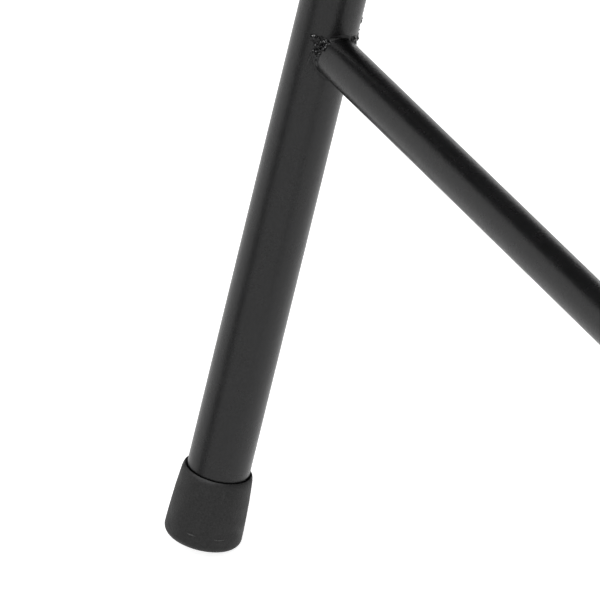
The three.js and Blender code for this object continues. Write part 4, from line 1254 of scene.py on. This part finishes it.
def piping_line(tree, half_x, half_y, corner, z):
    """Where the skin of the pillow lies at a height, all the way round."""
    line = []
    outline = rounded_outline(-half_x, -half_y, half_x, half_y, corner, 10)
    dense = []
    for (x0, y0), (x1, y1) in zip(outline, outline[1:] + outline[:1]):
        steps = max(1, int(math.hypot(x1 - x0, y1 - y0) / 0.006))
        dense += [(x0 + (x1 - x0) * k / steps, y0 + (y1 - y0) * k / steps) for k in range(steps)]
    for x, y in dense:
        inward = Vector((held(x, half_x - corner), held(y, half_y - corner), z))
        outside = Vector((x, y, z))
        way = (inward - outside).normalized()
        hit = tree.ray_cast(outside - way * 0.05, way)[0]
        if hit:
            line.append(hit - way * 0.0006)
    return line


def cushion(name, node, body, place, width, depth, thickness, crown, seams):
    """A sewn cushion with piping round both faces. seams are the y places of the sewn channels across it."""
    shrink, edge = 0.016, 0.012
    obj = pillow_start(width - shrink, depth - shrink, thickness - crown, 0.036, edge, 0.0055)
    inflate(obj, 0.011)
    mesh = obj.data
    half_x, half_y = width / 2, depth / 2
    for v in mesh.vertices:
        x, y, z = v.co
        across = 1 - abs(x / half_x) ** 3
        lengthways = 1 - abs(y / half_y) ** 3
        top = max(0.0, min(1.0, (z - thickness * 0.45) / (thickness * 0.3)))
        rise = 0.006 * max(across, 0) * max(lengthways, 0) * top
        sink = 0.0
        for s in seams:
            sink += 0.0085 * math.exp(-((y - s) / 0.0075) ** 2) * max(across, 0) ** 0.5 * top
        pucker = 0.0012 * noise.noise(Vector((x * 26, y * 11, 3.0))) * top
        pucker += 0.0012 * noise.noise(Vector((x * 9, y * 30, 9.0))) * (1 - top)
        z = z + rise - sink + pucker
        v.co = Vector((held(x, half_x), held(y, half_y), max(0.0, min(thickness + 0.004, z))))
    subdivide = obj.modifiers.new("subdivide", "SUBSURF")
    subdivide.levels = subdivide.render_levels = 1
    fine = evaluated_mesh(obj)
    bpy.data.objects.remove(obj)
    corners = [v.co.copy() for v in fine.vertices]
    tree = BVHTree.FromPolygons(corners, [tuple(p.vertices) for p in fine.polygons])
    bm = bmesh.new()
    for z in (0.010, thickness - crown - 0.006):
        line = piping_line(tree, half_x, half_y, 0.042, z)
        sweep(bm, [place @ p for p in line], 0.0026, 10, closed=True)
    for s in seams:
        # stitches along the bottom of each channel
        x = -half_x + 0.030
        down, lift = Vector((0, 0, -1)), Vector((0, 0, 0.0002))
        while x < half_x - 0.030:
            hits = [tree.ray_cast(Vector((x + dx, s, thickness * 2)), down)[0] for dx in (0, 0.0035)]
            if all(hits):
                line = [hits[0] + lift, hits[0].lerp(hits[1], 0.5) + 2 * lift, hits[1] + lift]
                sweep(bm, [place @ p for p in line], 0.0006, 6)
            x += 0.006
    piece("piping_" + node, bm, [PIPING], body, sharp=60)
    fine.transform(place)
    made = finish_piece(name, fine, [CLOTH], body, [node], sharp=80)


cushion("cloth_seat_cushion", "seat_cushion", "seat", ROW @ Matrix.Translation((0, -0.006, SEAT_TOP + GAP)),
        0.400, 0.382, 0.065, 0.012, (-0.065, 0.065))
BACK = ROW @ Matrix.Translation((0, PIVOT_Y, PIVOT_Z)) @ Matrix.Rotation(-RECLINE, 4, "X")
cushion("cloth_backrest_cushion", "backrest_cushion", "backrest",
        BACK @ Matrix.Translation((0, BACK_OFFSET - GAP, 0.1665)) @ Matrix.Rotation(math.pi / 2, 4, "X"),
        0.392, 0.317, 0.0447, 0.010, (-0.055, 0.055))


# ---- Floor, world and lights ------------------------------------------------------------------------------
def floor():
    bm = bmesh.new()
    bmesh.ops.create_circle(bm, cap_ends=True, segments=96, radius=140)
    bmesh.ops.translate(bm, vec=(0, 0, -0.0005), verts=bm.verts)
    mesh = bpy.data.meshes.new("floor")
    bm.to_mesh(mesh)
    bm.free()
    m = Nodes("floor", (0.9, 0.9, 0.9), 0.9, specular=0.1)
    m.color(m.ramp(m.noise(0.7, 2), [(0.3, 0.79), (0.7, 0.81)]))
    m.shader.inputs["Emission Color"].default_value = (1, 1, 1, 1)
    m.shader.inputs["Emission Strength"].default_value = 0.86
    mesh.materials.append(m.material)
    obj = bpy.data.objects.new("floor", mesh)
    # glossy surfaces reflect the studio's own lower half instead
    obj.visible_glossy = False
    bpy.context.scene.collection.objects.link(obj)


def world():
    """A studio: white low down, dark overhead, with a white wall in front of the ladder, to the left."""
    made = bpy.data.worlds.new("studio")
    made.use_nodes = True
    g = Graph(made.node_tree)
    background = g.tree.nodes["Background"]
    split = g.make("ShaderNodeSeparateXYZ")
    g.link(g.make("ShaderNodeTexCoord").outputs["Generated"], split.inputs["Vector"])
    x, y, z = split.outputs
    low_band = g.smooth(z, 0.16, 0.04)
    face = g.smooth(x, 0.05, -0.40)
    wall = g.math("MULTIPLY", g.smooth(y, -0.21, -0.33), g.smooth(z, 0.68, 0.60))
    bright = g.math("MAXIMUM", low_band, g.math("MULTIPLY", wall, face))
    # a dark gap straight in front of the ladder, low down, draws the streak along the rails
    gap_side = g.math("ABSOLUTE", g.math("ADD", x, 0.12))
    gap = g.math("MULTIPLY", g.smooth(gap_side, 0.26, 0.06), g.smooth(y, -0.80, -0.93))
    lit = g.math("MULTIPLY", bright, g.math("SUBTRACT", 1.0, g.math("MULTIPLY", gap, 0.8)))
    seen = g.math("MAXIMUM", lit, g.make("ShaderNodeLightPath").outputs["Is Camera Ray"])
    ramp = g.make("ShaderNodeValToRGB")
    ramp.color_ramp.elements[0].color = (0.085, 0.085, 0.087, 1)
    ramp.color_ramp.elements[1].color = (0.92, 0.92, 0.92, 1)
    g.link(seen, ramp.inputs["Fac"])
    g.link(ramp.outputs["Color"], background.inputs["Color"])
    # the ground is brighter than the walls
    g.link(g.smooth(z, -0.40, -0.64, 1.0, 1.12), background.inputs["Strength"])
    bpy.context.scene.world = made


def sun(name, azimuth, elevation, spread, strength):
    data = bpy.data.lights.new(name, "SUN")
    data.energy = strength
    data.angle = math.radians(spread)
    obj = bpy.data.objects.new(name, data)
    away = -toward(math.radians(azimuth), math.radians(elevation))
    obj.rotation_mode = "QUATERNION"
    obj.rotation_quaternion = away.to_track_quat("-Z", "Y")
    bpy.context.scene.collection.objects.link(obj)
    return obj


floor()
world()
sun("soft_key", 62, 68, 80, 1.7)
# a small lamp that is seen only in gloss, as points of light
sun("small_key", 20, 58, 20, 2.6).visible_diffuse = False
bpy.context.scene.view_settings.view_transform = "Standard"
